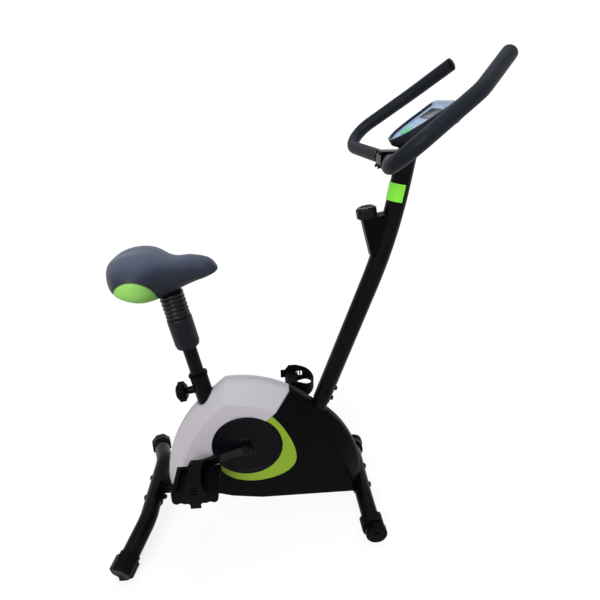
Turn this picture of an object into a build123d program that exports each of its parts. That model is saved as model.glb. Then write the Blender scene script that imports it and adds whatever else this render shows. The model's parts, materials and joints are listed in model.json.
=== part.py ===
"""Upright magnetic exercise bike, built as separate pieces in millimetres.

Forward is +X, the rider's left is +Y and up is +Z. The pieces are drawn with the crank
axle over x = 0 and are moved at the end, so that the origin lies under the middle.
"""
import os
from math import cos, hypot, radians, sin, tan

from build123d import *

# Clearances
RUN_GAP = 0.05          # radial running clearance of shafts in bores
FIT_GAP = 0.2           # between curved pieces that are fixed together
SHELL_GAP = 0.5         # covers around the frame tubes

# Crank and pedals
AXLE_Z = 266.0
AXLE_R = 8.5
CRANK_LENGTH = 152.0
CRANK_DROP = 13.0       # degrees that the right crank points below the horizontal
CRANK_THICK = 13.0
CRANK_ROOT_R = 14.0
CRANK_TIP_R = 10.5
CRANK_OFFSET = 16.0     # an arm's tip lies this far outside its root
CRANK_LEAN = (0.22, 0.80)  # shares of an arm between which it leans out
CRANK_NUT_R = 8.0
CRANK_NUT_H = 5.0
SPINDLE_R = 6.0
SPINDLE_COLLAR_R = 9.0
PEDAL_GAP = 7.0         # between the crank arm and the pedal body
PEDAL_LENGTH = 122.0
PEDAL_SHIFT = 14.0      # middle of the pedal ahead of its spindle
PEDAL_WIDTH = 98.0
PEDAL_TOP = 11.0        # above the spindle
PEDAL_BOTTOM = 27.0     # below the spindle
PEDAL_CORNER = 14.0
PEDAL_WINDOW = 20.0
PEDAL_POCKET = 12.0     # depth of the tread's two pockets
PEDAL_RIM = 10.0
PEDAL_SCALLOP_R = 13.0
LEFT_PEDAL_TURN = 90.0  # degrees that the free left pedal is turned from level
STRAP_WIDTH = 64.0      # at the pedal's sides
STRAP_TOP_WIDTH = 28.0  # over the foot
STRAP_THICK = 3.5
STRAP_TAIL = 14.0       # free end below the pedal
STRAP_RISE_RIGHT = 46.0   # top of the arch above the spindle
STRAP_RISE_LEFT = 66.0
STRAP_SHIFT_RIGHT = 14.0  # ahead of the spindle
STRAP_SHIFT_LEFT = -34.0
STRAP_SLOT = (5.0, 18.0)

# Disc covers and trim around the crank
DISC_R = 101.0
DISC_THICK = 3.0
DISC_RIM = 5.0
DISC_HUB_R = 28.0
DISC_STANDOFF = 1.5     # between a side cover and the disc
TRIM_THICK = 3.0
TRIM_GAP = 2.5          # between the disc's rim and the crescent trim

# Main frame
BEAM_WIDTH = 50.0
BEAM_HEIGHT = 28.0
BEAM_Z = 81.0
BOX_WALL = 2.5
TUBE_WALL = 2.0
SEAT_TUBE_R = 25.0
SEAT_LEAN = 10.0        # degrees
SEAT_FOOT_X = -59.0
SEAT_TUBE_LENGTH = 389.0
BRACKET_HALF = 36.0     # half length of the bottom bracket shell
BRACKET_R = 25.0
BEARING_R = 21.0
BEARING_WIDTH = 12.0
STRUT_DEPTH = 34.0

# Stabilisers
STAB_R = 25.0
REAR_X = -297.0
REAR_Z = 69.0
REAR_STRAIGHT = 118.0   # from the middle to the bend's corner
REAR_REACH = (-43.0, 131.0, -37.0)
FRONT_X = 346.0
FRONT_Z = 65.0
FRONT_STRAIGHT = 78.0
FRONT_REACH = (10.0, 88.0, -28.0)
STAB_BEND_R = 120.0
PLATE_THICK = 4.0
PLATE_LENGTH = 112.0
STAB_BOLT_R = 4.0
STAB_BOLT_Y = 40.0
BOLT_HEAD_R = 9.0
BOLT_HEAD_H = 5.0
NUT_R = 7.5
NUT_H = 6.5

# End caps and transport wheels
CAP_FLAT = 31.5         # half of a rear cap's width across flats
CAP_LENGTH = 40.0
CAP_COLLAR = 12.0
CAP_COLLAR_STEP = 3.0
CAP_END = 12.0          # closed end of a cap beyond its tube
SOLE_WIDTH = 24.0
FRONT_CAP_R = 33.0
FRONT_CAP_LENGTH = 24.0
WHEEL_R = 31.0
WHEEL_WIDTH = 24.0
WHEEL_LIFT = 2.5        # a wheel's height above the floor at rest
WHEEL_FORWARD = 6.0     # a wheel's axle ahead of its tube's end
WHEEL_AXLE_R = 5.0
WHEEL_SIDE_GAP = 1.0

# Housing: ridge outline on the middle, crease outline on the flat sides (x, z)
SHELL_WALL = 3.5
SIDE_Y = 60.0           # flat outer sides
RIDGE_STEPS = ((9.0, 0.0), (15.5, 0.03), (22.0, 0.136))  # half width and share of the bevel
CREASE_ROUND = 10.0
CREASE_ROUND_FROM = 130.0  # creases that rise above this height are rounded
RIDGE = {
    "rear_foot": (-249.0, 101.0), "rear_mid": (-217.0, 262.0), "rear_top": (-88.0, 429.0),
    "crown": (-54.0, 459.0), "crown_mid": (62.0, 449.0), "brow": (183.0, 380.0),
    "nose_mid": (287.0, 281.0), "nose_foot": (348.0, 98.0), "nose_low": (351.0, 64.0),
    "tail": (-130.0, 101.0),
}
CREASE = {
    "rear_foot": (-212.0, 118.0), "rear_mid": (-172.0, 262.0), "rear_top": (-93.0, 381.0),
    "crown": (-57.0, 411.0), "crown_mid": (50.0, 391.0), "brow": (158.0, 337.0),
    "nose_mid": (250.0, 245.0), "nose_foot": (316.0, 98.0), "nose_low": (322.0, 63.0),
    "tail": (-122.0, 118.0),
}
BELLY = ((35.0, 62.0), (-54.0, 75.0), (-95.0, 88.0))
SHELL_MIDDLE = (55.0, 235.0)
SEAM_TOP = ((128.0, 520.0), (128.0, 417.0))
TRIM_START = (77.0, 364.0)
TRIM_CURVE = ((128.0, 281.0), (139.0, 196.0), (30.0, 135.0))
TRIM_END = (-87.0, 194.0)
SEAM_LOW = ((-113.0, 180.0), (-124.0, 60.0))
AXLE_WINDOW_R = 34.0

# Drive
PULLEY_R = 80.0
PULLEY_Y = (42.0, 52.0)
SMALL_PULLEY_R = 18.0
BELT_THICK = 3.0
BELT_GAP = 0.3
FLYWHEEL_X = 150.0
FLYWHEEL_Z = 176.0
FLYWHEEL_R = 75.0
FLYWHEEL_HALF = 11.0
FLYWHEEL_WEB = 5.0
FLYWHEEL_RIM = 16.0
SHAFT_R = 6.0
FORK_Y = 22.0           # inner face of the flywheel's two plates
FORK_THICK = 5.0
FORK_WIDTH = 34.0
SMALL_BEARING_R = 11.0
SMALL_BEARING_WIDTH = 7.0
HUB_R = 16.0

# Magnet brake
BRAKE_GAP = 4.0
BRAKE_DEPTH = 13.0
BRAKE_HALF = 13.0
BRAKE_FROM = 78.0       # degrees around the flywheel
BRAKE_TO = 148.0
BRAKE_PIVOT_AT = 62.0
BRAKE_PIVOT_R = 103.0
BRAKE_EAR_R = 9.0
BRAKE_PIN_R = 4.0
CHEEK_Y = 15.0
CHEEK_THICK = 4.0

# Handlebar post
POST_R = 25.0
POST_LEAN = 19.4        # degrees forward, lower stretch
POST_TOP_LEAN = 8.4     # degrees forward, upper stretch
POST_FOOT = (223.0, 372.0)
POST_CORNER_Z = 862.0
POST_TOP_Z = 1066.0
POST_BEND_R = 1450.0
HEAD_R = 22.5
HEAD_INSERT = 80.0      # length of the frame's stub inside the post
HEAD_CORNER_DROP = 44.0
HEAD_FOOT_X = 308.0
HEAD_BEND_R = 95.0
POST_BOLT_AT = (12.0, 47.0)
POST_BOLT_R = 4.0
POST_BOLT_HEAD_R = 7.5
POST_BOLT_HEAD_H = 5.5
SCREW_AT = 38.0
BAND_Z = (950.0, 992.0)
BAND_THICK = 1.6
BAND_OPEN = 150.0       # degrees left open on the front

# Tension control
KNOB_CENTRE = (334.0, 924.0)
KNOB_LEAN = 11.3        # degrees to the rear
KNOB_R = 26.0
KNOB_H = 26.0
KNOB_RIB_R = 3.0
KNOB_RIBS = 12
KNOB_STEM_R = 6.0
KNOB_STEM = 18.0
WEDGE = ((315.0, 930.0), (396.0, 930.0), (396.0, 860.0), (349.0, 808.0))
WEDGE_HALF = 20.0
CABLE_R = 2.5
CABLE_HOLE_R = 3.0
CABLE_ROUTE = ((340.0, 876.0), (368.0, 812.0), (224.0, 368.0), (166.0, 271.0))
CABLE_RADII = (70.0, 90.0)

# Handlebar
BAR_R = 12.5
BAR_WALL = 2.0
BAR_CENTRE = (376.0, 1049.0)
BAR_STRAIGHT = 42.0
BAR_CORNER = (312.0, 282.0, 1063.0)
BAR_KINK = (493.0, 217.0, 1194.0)
BAR_END = (566.0, 151.0, 1257.0)
BAR_RADII = (50.0, 60.0, 96.0)
GRIP_THICK = 3.6
GRIP_START = 50.0       # sideways from the middle
BAR_PLUG_H = 6.0
CLAMP_HALF_Y = 24.0
CLAMP_HALF_Z = 20.0
CLAMP_BACK = 19.0
CLAMP_BOLT_R = 2.5
CLAMP_BOLT_Z = 16.0
CLAMP_BOLT_Y = 15.0
CLAMP_HEAD_R = 4.0
CLAMP_HEAD_H = 4.0

# Console
CONSOLE_CENTRE = (443.7, 1134.9)
CONSOLE_TILT = 33.7     # degrees from level
CONSOLE_HALF = (        # along the face from its middle, half width
    (-72.0, 22.0), (-62.0, 37.0), (-45.0, 51.0), (-21.0, 60.0), (3.0, 65.0), (40.0, 69.5), (72.0, 73.0),
)
CONSOLE_TIP = -77.0     # end near the rider
CONSOLE_CORNER = 12.0
CONSOLE_RIM = 16.0      # height of the upright wall
CONSOLE_DEPTH = 46.0
CONSOLE_TAPER = 0.80    # share of the outline left at the underside
CONSOLE_SHIFT = 10.0    # underside's shift away from the rider
CONSOLE_NECK = 20.0
FACE_MARGIN = 5.0
FACE_RECESS = 6.0
FACE_THICK = 3.0
LENS_SIZE = (34.0, 70.0, 1.2)
LENS_AT = 32.0
BUTTON_RADII = (14.0, 21.0)
BUTTON_AT = -33.0
BUTTON_PROUD = 2.0
BUTTON_TRAVEL = 1.5
BUTTON_STEM = 6.0
BUTTON_GAP = 0.3

# Seat post and saddle
POST_TUBE_R = 19.0
POST_TUBE_WALL = 2.5
POST_TUBE_FOOT = 235.0  # along the seat tube's axis, from the beam
SLEEVE_R = 33.5
SLEEVE_FOOT = 485.0
SLEEVE_LENGTH = 90.0
SLEEVE_SOCKET = 42.0
BUSH_DEPTH = 36.0
BUSH_FLANGE = 5.0
SADDLE_SHAFT_R = 12.5
SHAFT_FOOT = 470.0
BELLOWS_LENGTH = 72.0
BELLOWS_R = 32.5
BELLOWS_FOLD = 4.5
BELLOWS_WALL = 1.6
BELLOWS_FOLDS = 6
SPRING_R = 18.0
SPRING_GROOVE = 2.5
SPRING_RINGS = 6
SPRING_END_GAP = 0.4
PIN_DROP = 46.0         # the height pin below the seat tube's mouth
PIN_R = 5.0
PIN_BOSS_R = 11.0
PIN_BOSS = 14.0
PIN_KNOB_R = 29.0
PIN_KNOB_H = 27.0
PIN_NECK = 7.0
PIN_NECK_R = 9.0
PIN_LOBES = 6
PIN_HOLE_PITCH = 25.0
PIN_HOLES = 7
PAN_THICK = 9.0
PAN_RISE = 26.0         # top of the pan above the foot of its boss
PAN_BOSS_R = 29.0
SADDLE = (              # x from the boss's foot, half width, height of the widest line, height of the top
    (-148.5, 60.0, 50.0, 84.0), (-130.5, 96.0, 48.0, 104.0), (-86.5, 117.0, 46.0, 119.0),
    (-33.5, 106.0, 46.0, 116.0), (16.5, 66.0, 52.0, 97.0), (71.5, 42.0, 62.0, 98.0),
    (113.5, 29.0, 66.0, 90.0), (129.5, 16.0, 66.0, 77.0),
)
SADDLE_FLAT_TO = 11.5   # the underside lies on the pan up to here
SADDLE_UNDERSIDE = ((111.5, 42.0), (141.5, 62.0))
PAN = ((-104.0, 58.0), (-86.5, 71.0), (-33.5, 60.0), (16.5, 20.0))  # x as above, half width
SADDLE_SKIRT = 22.0     # the cushion's rim hangs this far below the pan's top

# Derived places
PIN_AT = SEAT_TUBE_LENGTH - PIN_DROP            # along the seat tube's axis, from the beam
BEAM_TOP = BEAM_Z + BEAM_HEIGHT / 2
FIN_Y = SIDE_Y + DISC_STANDOFF                 # inner face of a disc cover
ARM_Y = FIN_Y + DISC_RIM + 2.0                 # inner face of a crank arm
ARM_OUT = ARM_Y + CRANK_THICK
TIP_Y = ARM_Y + CRANK_OFFSET                   # inner face of an arm's tip
TIP_OUT = TIP_Y + CRANK_THICK
PEDAL_IN = TIP_OUT + PEDAL_GAP
PEDAL_OUT = PEDAL_IN + PEDAL_WIDTH
PEDAL_DX = -CRANK_LENGTH * cos(radians(CRANK_DROP))
PEDAL_DZ = -CRANK_LENGTH * sin(radians(CRANK_DROP))
WALL_IN = SIDE_Y - SHELL_WALL


def side(y=0.0):
    """Drawing plane at a given y: sketch x and y are the bike's x and z."""
    return Plane(origin=(0, y, 0), x_dir=(1, 0, 0), z_dir=(0, -1, 0))


def slab(sketch, y0, y1):
    """Side-view sketch given thickness from y0 to y1."""
    return extrude(side(y1) * sketch, y1 - y0)


def drum(x, z, radius, y0, y1):
    """Round bar lying across the bike."""
    return slab(Pos(x, z) * Circle(radius), y0, y1)


def ring(x, z, outer, inner, y0, y1):
    """Round sleeve lying across the bike."""
    return slab(Pos(x, z) * (Circle(outer) - Circle(inner)), y0, y1)


def block(x0, x1, y0, y1, z0, z1):
    """Box between two corners."""
    middle = Pos((x0 + x1) / 2, (y0 + y1) / 2, (z0 + z1) / 2)
    return middle * Box(x1 - x0, y1 - y0, z1 - z0)


def swept(path, outer, inner=0.0):
    """Round bar or tube carried along a path."""
    start = Plane(origin=path @ 0, z_dir=path % 0)
    section = Circle(outer)
    if inner:
        section = Circle(outer) - Circle(inner)
    return sweep(start * section, path=path)


def rod(start, direction, radius, length, inner=0.0):
    """Round bar or sleeve from a point along a direction."""
    section = Circle(radius)
    if inner:
        section = Circle(radius) - Circle(inner)
    return extrude(Plane(origin=start, z_dir=direction) * section, length)


def hexagon(start, direction, radius, length):
    """Hexagonal bolt head or nut blank."""
    return extrude(Plane(origin=start, z_dir=direction) * RegularPolygon(radius, 6), length)


def turned(plane, profile):
    """Solid of revolution about a plane's own z axis; the profile is (radius, height) points."""
    outline = plane * Plane.XZ * make_face(Polyline(*profile, close=True))
    return revolve(outline, axis=Axis(plane.origin, plane.z_dir))


def mirrored(piece):
    """The same piece on the other side of the bike."""
    return mirror(piece, about=Plane.XZ)


# Axes of the seat tube and the handlebar post
SEAT_DIR = Vector(-sin(radians(SEAT_LEAN)), 0, cos(radians(SEAT_LEAN)))
SEAT_BACK = Vector(-cos(radians(SEAT_LEAN)), 0, -sin(radians(SEAT_LEAN)))
SEAT_FOOT = Vector(SEAT_FOOT_X, 0, BEAM_TOP)
POST_DIR = Vector(sin(radians(POST_LEAN)), 0, cos(radians(POST_LEAN)))
POST_FRONT = Vector(cos(radians(POST_LEAN)), 0, -sin(radians(POST_LEAN)))
POST_START = Vector(POST_FOOT[0], 0, POST_FOOT[1])
POST_TOP_DIR = Vector(sin(radians(POST_TOP_LEAN)), 0, cos(radians(POST_TOP_LEAN)))


def on_seat(along):
    """Point on the seat tube's axis, measured from the beam."""
    return SEAT_FOOT + SEAT_DIR * along


def seat_plane(along):
    """Plane across the seat tube, its z up the tube and its x to the front."""
    return Plane(origin=on_seat(along), x_dir=-SEAT_BACK, z_dir=SEAT_DIR)


def on_post(along):
    """Point on the straight lower stretch of the handlebar post."""
    return POST_START + POST_DIR * along


def post_path():
    """Centre line of the handlebar post: two straight stretches and one long bend."""
    corner_x = POST_FOOT[0] + (POST_CORNER_Z - POST_FOOT[1]) * tan(radians(POST_LEAN))
    top_x = corner_x + (POST_TOP_Z - POST_CORNER_Z) * tan(radians(POST_TOP_LEAN))
    corner = (corner_x, 0, POST_CORNER_Z)
    top = (top_x, 0, POST_TOP_Z)
    return FilletPolyline(POST_START, corner, top, radius=POST_BEND_R)


def head_path():
    """Centre line of the frame's front tube, from inside the post down to the beam."""
    top = on_post(HEAD_INSERT)
    corner = on_post(-HEAD_CORNER_DROP)
    foot = (HEAD_FOOT_X, 0, BEAM_TOP)
    return FilletPolyline(top, corner, foot, radius=HEAD_BEND_R)


def stabiliser_path(x, z, straight, reach):
    """Centre line of a stabiliser: a straight middle and two ends swept out and down."""
    ends = []
    for way in (-1, 1):
        bend = Vector(x, way * straight, z)
        end = bend + Vector(reach[0], way * reach[1], reach[2])
        ends.append((end, bend))
    (end_a, bend_a), (end_b, bend_b) = ends
    return FilletPolyline(end_a, bend_a, bend_b, end_b, radius=STAB_BEND_R)


POST_PATH = post_path()
REAR_PATH = stabiliser_path(REAR_X, REAR_Z, REAR_STRAIGHT, REAR_REACH)
FRONT_PATH = stabiliser_path(FRONT_X, FRONT_Z, FRONT_STRAIGHT, FRONT_REACH)
POST_TOP = POST_PATH @ 1


# Main frame
def bolt_bores(x, z, radius, x0, x1):
    """Bores for the two stabiliser bolts of one bracket."""
    bores = Part()
    for way in (-1, 1):
        bores += rod((x0, way * STAB_BOLT_Y, z), (1, 0, 0), radius, x1 - x0)
    return bores


def saddle_plate(x, z, facing):
    """Curved plate that a stabiliser's middle sits in; facing is +1 when it opens to the rear."""
    half = PLATE_LENGTH / 2
    outer = STAB_R + FIT_GAP + PLATE_THICK
    shell = ring(x, z, outer, STAB_R + FIT_GAP, -half, half)
    near = x + facing * STAB_R * 0.35
    far = x + facing * (outer + 1)
    plate = shell & block(min(near, far), max(near, far), -half, half, z - outer, z + outer)
    bores = bolt_bores(x, z, STAB_BOLT_R + FIT_GAP, x - outer - 1, x + outer + 1)
    return plate - bores


def flywheel_fork():
    """Two upright plates on the beam that carry the flywheel's bearings."""
    plates = Part()
    for way in (-1, 1):
        inner = way * FORK_Y
        outer = way * (FORK_Y + FORK_THICK)
        low, high = min(inner, outer), max(inner, outer)
        half = FORK_WIDTH / 2
        plate = block(FLYWHEEL_X - half, FLYWHEEL_X + half, low, high, BEAM_TOP - BOX_WALL, FLYWHEEL_Z)
        plate += drum(FLYWHEEL_X, FLYWHEEL_Z, half, low, high)
        plates += plate - drum(FLYWHEEL_X, FLYWHEEL_Z, SMALL_BEARING_R, low - 1, high + 1)
    return plates


def main_beam():
    """Welded box beam with a saddle plate at each end and the flywheel's plates on top."""
    rear_end = REAR_X + STAB_R + FIT_GAP
    front_end = FRONT_X - STAB_R - FIT_GAP
    half_w, half_h = BEAM_WIDTH / 2, BEAM_HEIGHT / 2
    outside = block(rear_end, front_end, -half_w, half_w, BEAM_Z - half_h, BEAM_Z + half_h)
    inside = block(rear_end - 1, front_end + 1, -half_w + BOX_WALL, half_w - BOX_WALL,
                   BEAM_Z - half_h + BOX_WALL, BEAM_Z + half_h - BOX_WALL)
    tubes = drum(REAR_X, REAR_Z, STAB_R + FIT_GAP, -BEAM_WIDTH, BEAM_WIDTH)
    tubes += drum(FRONT_X, FRONT_Z, STAB_R + FIT_GAP, -BEAM_WIDTH, BEAM_WIDTH)
    beam = outside - inside - tubes
    beam += saddle_plate(REAR_X, REAR_Z, 1)
    beam += saddle_plate(FRONT_X, FRONT_Z, -1)
    lower = block(FLYWHEEL_X - FORK_WIDTH, FLYWHEEL_X + FORK_WIDTH, -half_w, half_w,
                  BEAM_TOP - BOX_WALL, BEAM_TOP)
    foot_half = FORK_Y + FORK_THICK
    pad = block(FLYWHEEL_X - FORK_WIDTH / 2, FLYWHEEL_X + FORK_WIDTH / 2, -foot_half, foot_half,
                BEAM_TOP - BOX_WALL, BEAM_TOP + BOX_WALL)
    return beam + lower + pad + flywheel_fork()


def seat_tube():
    """Seat tube welded on the beam, with the boss of the height pin at its back."""
    tube = extrude(seat_plane(-BEAM_HEIGHT) * Circle(SEAT_TUBE_R), SEAT_TUBE_LENGTH + BEAM_HEIGHT)
    tube += rod(on_seat(PIN_AT), SEAT_BACK, PIN_BOSS_R, SEAT_TUBE_R + PIN_BOSS)
    tube -= extrude(seat_plane(-BEAM_HEIGHT) * Circle(SEAT_TUBE_R - TUBE_WALL), SEAT_TUBE_LENGTH * 2)
    tube -= rod(on_seat(PIN_AT), SEAT_BACK, PIN_R + RUN_GAP, SEAT_TUBE_R + PIN_BOSS * 2)
    below = block(SEAT_FOOT_X - 200, SEAT_FOOT_X + 200, -100, 100, 0, BEAM_TOP)
    return tube - below


def head_tube():
    """Front frame tube: stub for the post, bend, foot on the beam and the brake's cheeks."""
    tube = swept(head_path(), HEAD_R)
    bore = swept(head_path(), HEAD_R - TUBE_WALL)
    px, pz = brake_pivot()
    cheeks = Part()
    for way in (-1, 1):
        inner, outer = way * CHEEK_Y, way * (CHEEK_Y + CHEEK_THICK)
        low, high = min(inner, outer), max(inner, outer)
        reach = block(px, px + HEAD_R * 2.2, low, high, pz - BRAKE_EAR_R, pz + BRAKE_EAR_R)
        cheeks += reach + drum(px, pz, BRAKE_EAR_R, low, high)
    half = CHEEK_Y + CHEEK_THICK
    cheeks += drum(px, pz, BRAKE_PIN_R, -half, half)
    beyond = block(px - 100, px + 200, -100, 100, 0, BEAM_TOP)
    whole = tube + (cheeks - swept(head_path(), HEAD_R - TUBE_WALL / 2))
    whole = whole - bore - beyond - cable_way() - post_bores()
    return whole


def bottom_bracket():
    """Crank bearing shell on its strut."""
    half = STRUT_DEPTH / 2
    shell = drum(0, AXLE_Z, BRACKET_R, -BRACKET_HALF, BRACKET_HALF)
    shell += block(-half, half, -BEAM_WIDTH / 2, BEAM_WIDTH / 2, BEAM_TOP, AXLE_Z)
    core = block(-half + BOX_WALL, half - BOX_WALL, -BEAM_WIDTH / 2 + BOX_WALL,
                 BEAM_WIDTH / 2 - BOX_WALL, BEAM_TOP - 1, AXLE_Z - BRACKET_R)
    return shell - core - drum(0, AXLE_Z, BEARING_R, -BRACKET_HALF - 1, BRACKET_HALF + 1)


def bearings():
    """Two crank bearings and two flywheel bearings."""
    pieces = []
    for way in (-1, 1):
        face = way * BRACKET_HALF
        back = way * (BRACKET_HALF - BEARING_WIDTH)
        pieces.append(ring(0, AXLE_Z, BEARING_R, AXLE_R + RUN_GAP, min(face, back), max(face, back)))
        middle = way * (FORK_Y + FORK_THICK / 2)
        half = SMALL_BEARING_WIDTH / 2
        pieces.append(ring(FLYWHEEL_X, FLYWHEEL_Z, SMALL_BEARING_R, SHAFT_R + RUN_GAP,
                           middle - half, middle + half))
    return Compound(children=pieces)


# Stabilisers, caps and wheels
def stabiliser(path, x, z):
    """Bent round tube with two cross bores for its bolts."""
    reach = STAB_R + 10
    return swept(path, STAB_R, STAB_R - TUBE_WALL) - bolt_bores(
        x, z, STAB_BOLT_R + FIT_GAP, x - reach, x + reach)


def stabiliser_bolts():
    """Domed carriage bolts and their nuts, two for each stabiliser."""
    pieces = []
    for x, z, inward in ((REAR_X, REAR_Z, 1), (FRONT_X, FRONT_Z, -1)):
        for way in (-1, 1):
            start = Vector(x - inward * (STAB_R + FIT_GAP), way * STAB_BOLT_Y, z)
            axis = Vector(inward, 0, 0)
            grip = 2 * (STAB_R + FIT_GAP) + PLATE_THICK
            head_plane = Plane(origin=start, x_dir=(0, 1, 0), z_dir=-axis)
            head = turned(head_plane, ((0, 0), (BOLT_HEAD_R, 0), (BOLT_HEAD_R, BOLT_HEAD_H * 0.4),
                                       (BOLT_HEAD_R * 0.6, BOLT_HEAD_H), (0, BOLT_HEAD_H)))
            shank = rod(start, axis, STAB_BOLT_R, grip + NUT_H + 3)
            pieces.append(head + shank)
            nut = hexagon(start + axis * (grip + FIT_GAP), axis, NUT_R, NUT_H)
            bore = rod(start, axis, STAB_BOLT_R + RUN_GAP, grip + NUT_H * 2)
            pieces.append(nut - bore)
    return Compound(children=pieces)


def above_floor(piece):
    """Piece with everything below the floor cut away."""
    return piece - block(-1000, 1000, -1000, 1000, -200, 0)


def tube_end(path):
    """End point of a stabiliser's left end and its outward direction."""
    return path @ 1, path % 1


def rear_cap():
    """Eight-sided rubber foot on the rear stabiliser's left end, with a stepped collar."""
    end, out = tube_end(REAR_PATH)
    root = end - out * (CAP_LENGTH - CAP_END)
    face = Plane(origin=root, x_dir=Vector(0, 0, 1).cross(out), z_dir=out)
    corner_r = CAP_FLAT / cos(radians(22.5))
    octagon = Rot(0, 0, 22.5) * RegularPolygon(corner_r, 8)
    cap = extrude(face * octagon, CAP_LENGTH)
    cap = chamfer(cap.faces().sort_by(Axis(root, out))[-1].edges(), CAP_COLLAR_STEP * 1.5)
    collar = extrude(face * Circle(CAP_FLAT - CAP_COLLAR_STEP), -CAP_COLLAR)
    sole = block(end.X - SOLE_WIDTH / 2, end.X + SOLE_WIDTH / 2, end.Y - SOLE_WIDTH * 0.8,
                 end.Y + CAP_END * 0.6, 0, end.Z)
    cap = cap + collar + sole
    bore = rod(root - out * CAP_COLLAR * 2, out, STAB_R + FIT_GAP,
               CAP_LENGTH - CAP_END + CAP_COLLAR * 2 + FIT_GAP)
    return above_floor(cap - bore)


def wheel_place():
    """Centre of the left transport wheel."""
    end, out = tube_end(FRONT_PATH)
    outer_y = end.Y + CAP_END * 0.8 + WHEEL_SIDE_GAP + WHEEL_WIDTH / 2
    return Vector(end.X + WHEEL_FORWARD, outer_y, WHEEL_R + WHEEL_LIFT)


def front_cap():
    """Rounded foot on the front stabiliser's left end, with the wheel's stub axle."""
    end, out = tube_end(FRONT_PATH)
    centre = wheel_place()
    root = end - out * FRONT_CAP_LENGTH
    cap = rod(root, out, FRONT_CAP_R, FRONT_CAP_LENGTH + CAP_END * 2)
    plug = rod(root, out, STAB_R + FIT_GAP, FRONT_CAP_LENGTH + FIT_GAP)
    sole = block(end.X - SOLE_WIDTH / 2, end.X + SOLE_WIDTH / 2, end.Y - SOLE_WIDTH * 0.7, end.Y, 0, end.Z)
    face_y = centre.Y - WHEEL_WIDTH / 2 - WHEEL_SIDE_GAP
    outside = block(end.X - 100, end.X + 100, face_y, face_y + 100, -50, 150)
    cap = cap + sole - outside - plug
    axle_end = centre.Y + WHEEL_WIDTH / 2 + WHEEL_SIDE_GAP
    cap += drum(centre.X, centre.Z, WHEEL_AXLE_R, face_y - CAP_END * 0.4, axle_end)
    cap += drum(centre.X, centre.Z, WHEEL_AXLE_R * 1.7, axle_end, axle_end + 2.5)
    return above_floor(cap)


def transport_wheel():
    """Left transport wheel with rounded edges and a hub recess."""
    centre = wheel_place()
    half = WHEEL_WIDTH / 2
    wheel = drum(centre.X, centre.Z, WHEEL_R, centre.Y - half, centre.Y + half)
    wheel = fillet(wheel.edges(), WHEEL_WIDTH * 0.2)
    bore = WHEEL_AXLE_R + RUN_GAP
    return wheel - drum(centre.X, centre.Z, bore, centre.Y - half - 1, centre.Y + half + 1)


# Housing
def shell_outline(share, inset):
    """Closed side outline between ridge (share 0) and crease (share 1), moved in by the inset."""
    moved = {}
    for name, (ridge_x, ridge_z) in RIDGE.items():
        crease_x, crease_z = CREASE[name]
        x = ridge_x + (crease_x - ridge_x) * share
        z = ridge_z + (crease_z - ridge_z) * share
        moved[name] = inward(x, z, inset)
    low = [inward(x, z, inset) for x, z in BELLY]
    edges = [
        ThreePointArc(moved["rear_foot"], moved["rear_mid"], moved["rear_top"]),
        Line(moved["rear_top"], moved["crown"]),
        ThreePointArc(moved["crown"], moved["crown_mid"], moved["brow"]),
        ThreePointArc(moved["brow"], moved["nose_mid"], moved["nose_foot"]),
        Polyline(moved["nose_foot"], moved["nose_low"], *low, moved["tail"], moved["rear_foot"]),
    ]
    return make_face(edges)


def inward(x, z, inset):
    """Point moved towards the middle of the housing."""
    dx, dz = SHELL_MIDDLE[0] - x, SHELL_MIDDLE[1] - z
    reach = hypot(dx, dz)
    return x + dx * inset / reach, z + dz * inset / reach


def housing_solid(inset):
    """Rounded ridge in the middle and a bevel down to each flat side."""
    first = RIDGE_STEPS[0][0]
    body = slab(shell_outline(0, inset), -first, first)
    steps = (*RIDGE_STEPS, (SIDE_Y - inset, 1.0))
    for (near_y, near_share), (far_y, far_share) in zip(steps, steps[1:]):
        near = shell_outline(near_share, inset)
        far = shell_outline(far_share, inset)
        for way in (-1, 1):
            body += loft([side(way * near_y) * near, side(way * far_y) * far], ruled=True)
    return body


def rounded_housing():
    """Outer form of the housing, its upper creases rounded."""
    body = housing_solid(0)
    creases = []
    for edge in body.edges():
        spots = [edge @ share for share in (0, 0.25, 0.5, 0.75, 1)]
        flat = all(abs(abs(spot.Y) - SIDE_Y) < 0.01 for spot in spots)
        if flat and max(spot.Z for spot in spots) > CREASE_ROUND_FROM:
            creases.append(edge)
    return fillet(creases, CREASE_ROUND)


def housing_openings():
    """Room for the seat tube, the post, the beam, the front bracket and the crank axle."""
    half_beam = BEAM_WIDTH / 2 + SHELL_GAP
    cuts = extrude(seat_plane(150) * Circle(SEAT_TUBE_R + SHELL_GAP), SEAT_TUBE_LENGTH)
    cuts += rod(on_post(-20), POST_DIR, POST_R + SHELL_GAP, 160)
    cuts += swept(head_path(), HEAD_R + SHELL_GAP)
    cuts += block(REAR_X, BELLY[0][0] + 12, -half_beam, half_beam, 0, BEAM_TOP + SHELL_GAP)
    cuts += drum(FRONT_X, FRONT_Z, STAB_R + SHELL_GAP * 6, -SIDE_Y - 1, SIDE_Y + 1)
    bracket = PLATE_LENGTH / 2 + SHELL_GAP
    nuts = STAB_R + PLATE_THICK + NUT_H + 12
    cuts += block(FRONT_X - nuts, FRONT_X + STAB_R, -bracket, bracket, 0,
                  FRONT_Z + STAB_R + PLATE_THICK + 2)
    cuts += drum(0, AXLE_Z, AXLE_WINDOW_R, -SIDE_Y - 1, SIDE_Y + 1)
    return cuts


def rear_region():
    """Side-view area of the pale rear cover, behind the seam."""
    far_left, far_top = -400.0, SEAM_TOP[0][1]
    outline = [(far_left, far_top), *SEAM_TOP, TRIM_START, TRIM_END, *SEAM_LOW, (far_left, SEAM_LOW[-1][1])]
    return make_face(Polyline(*outline, close=True))


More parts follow.
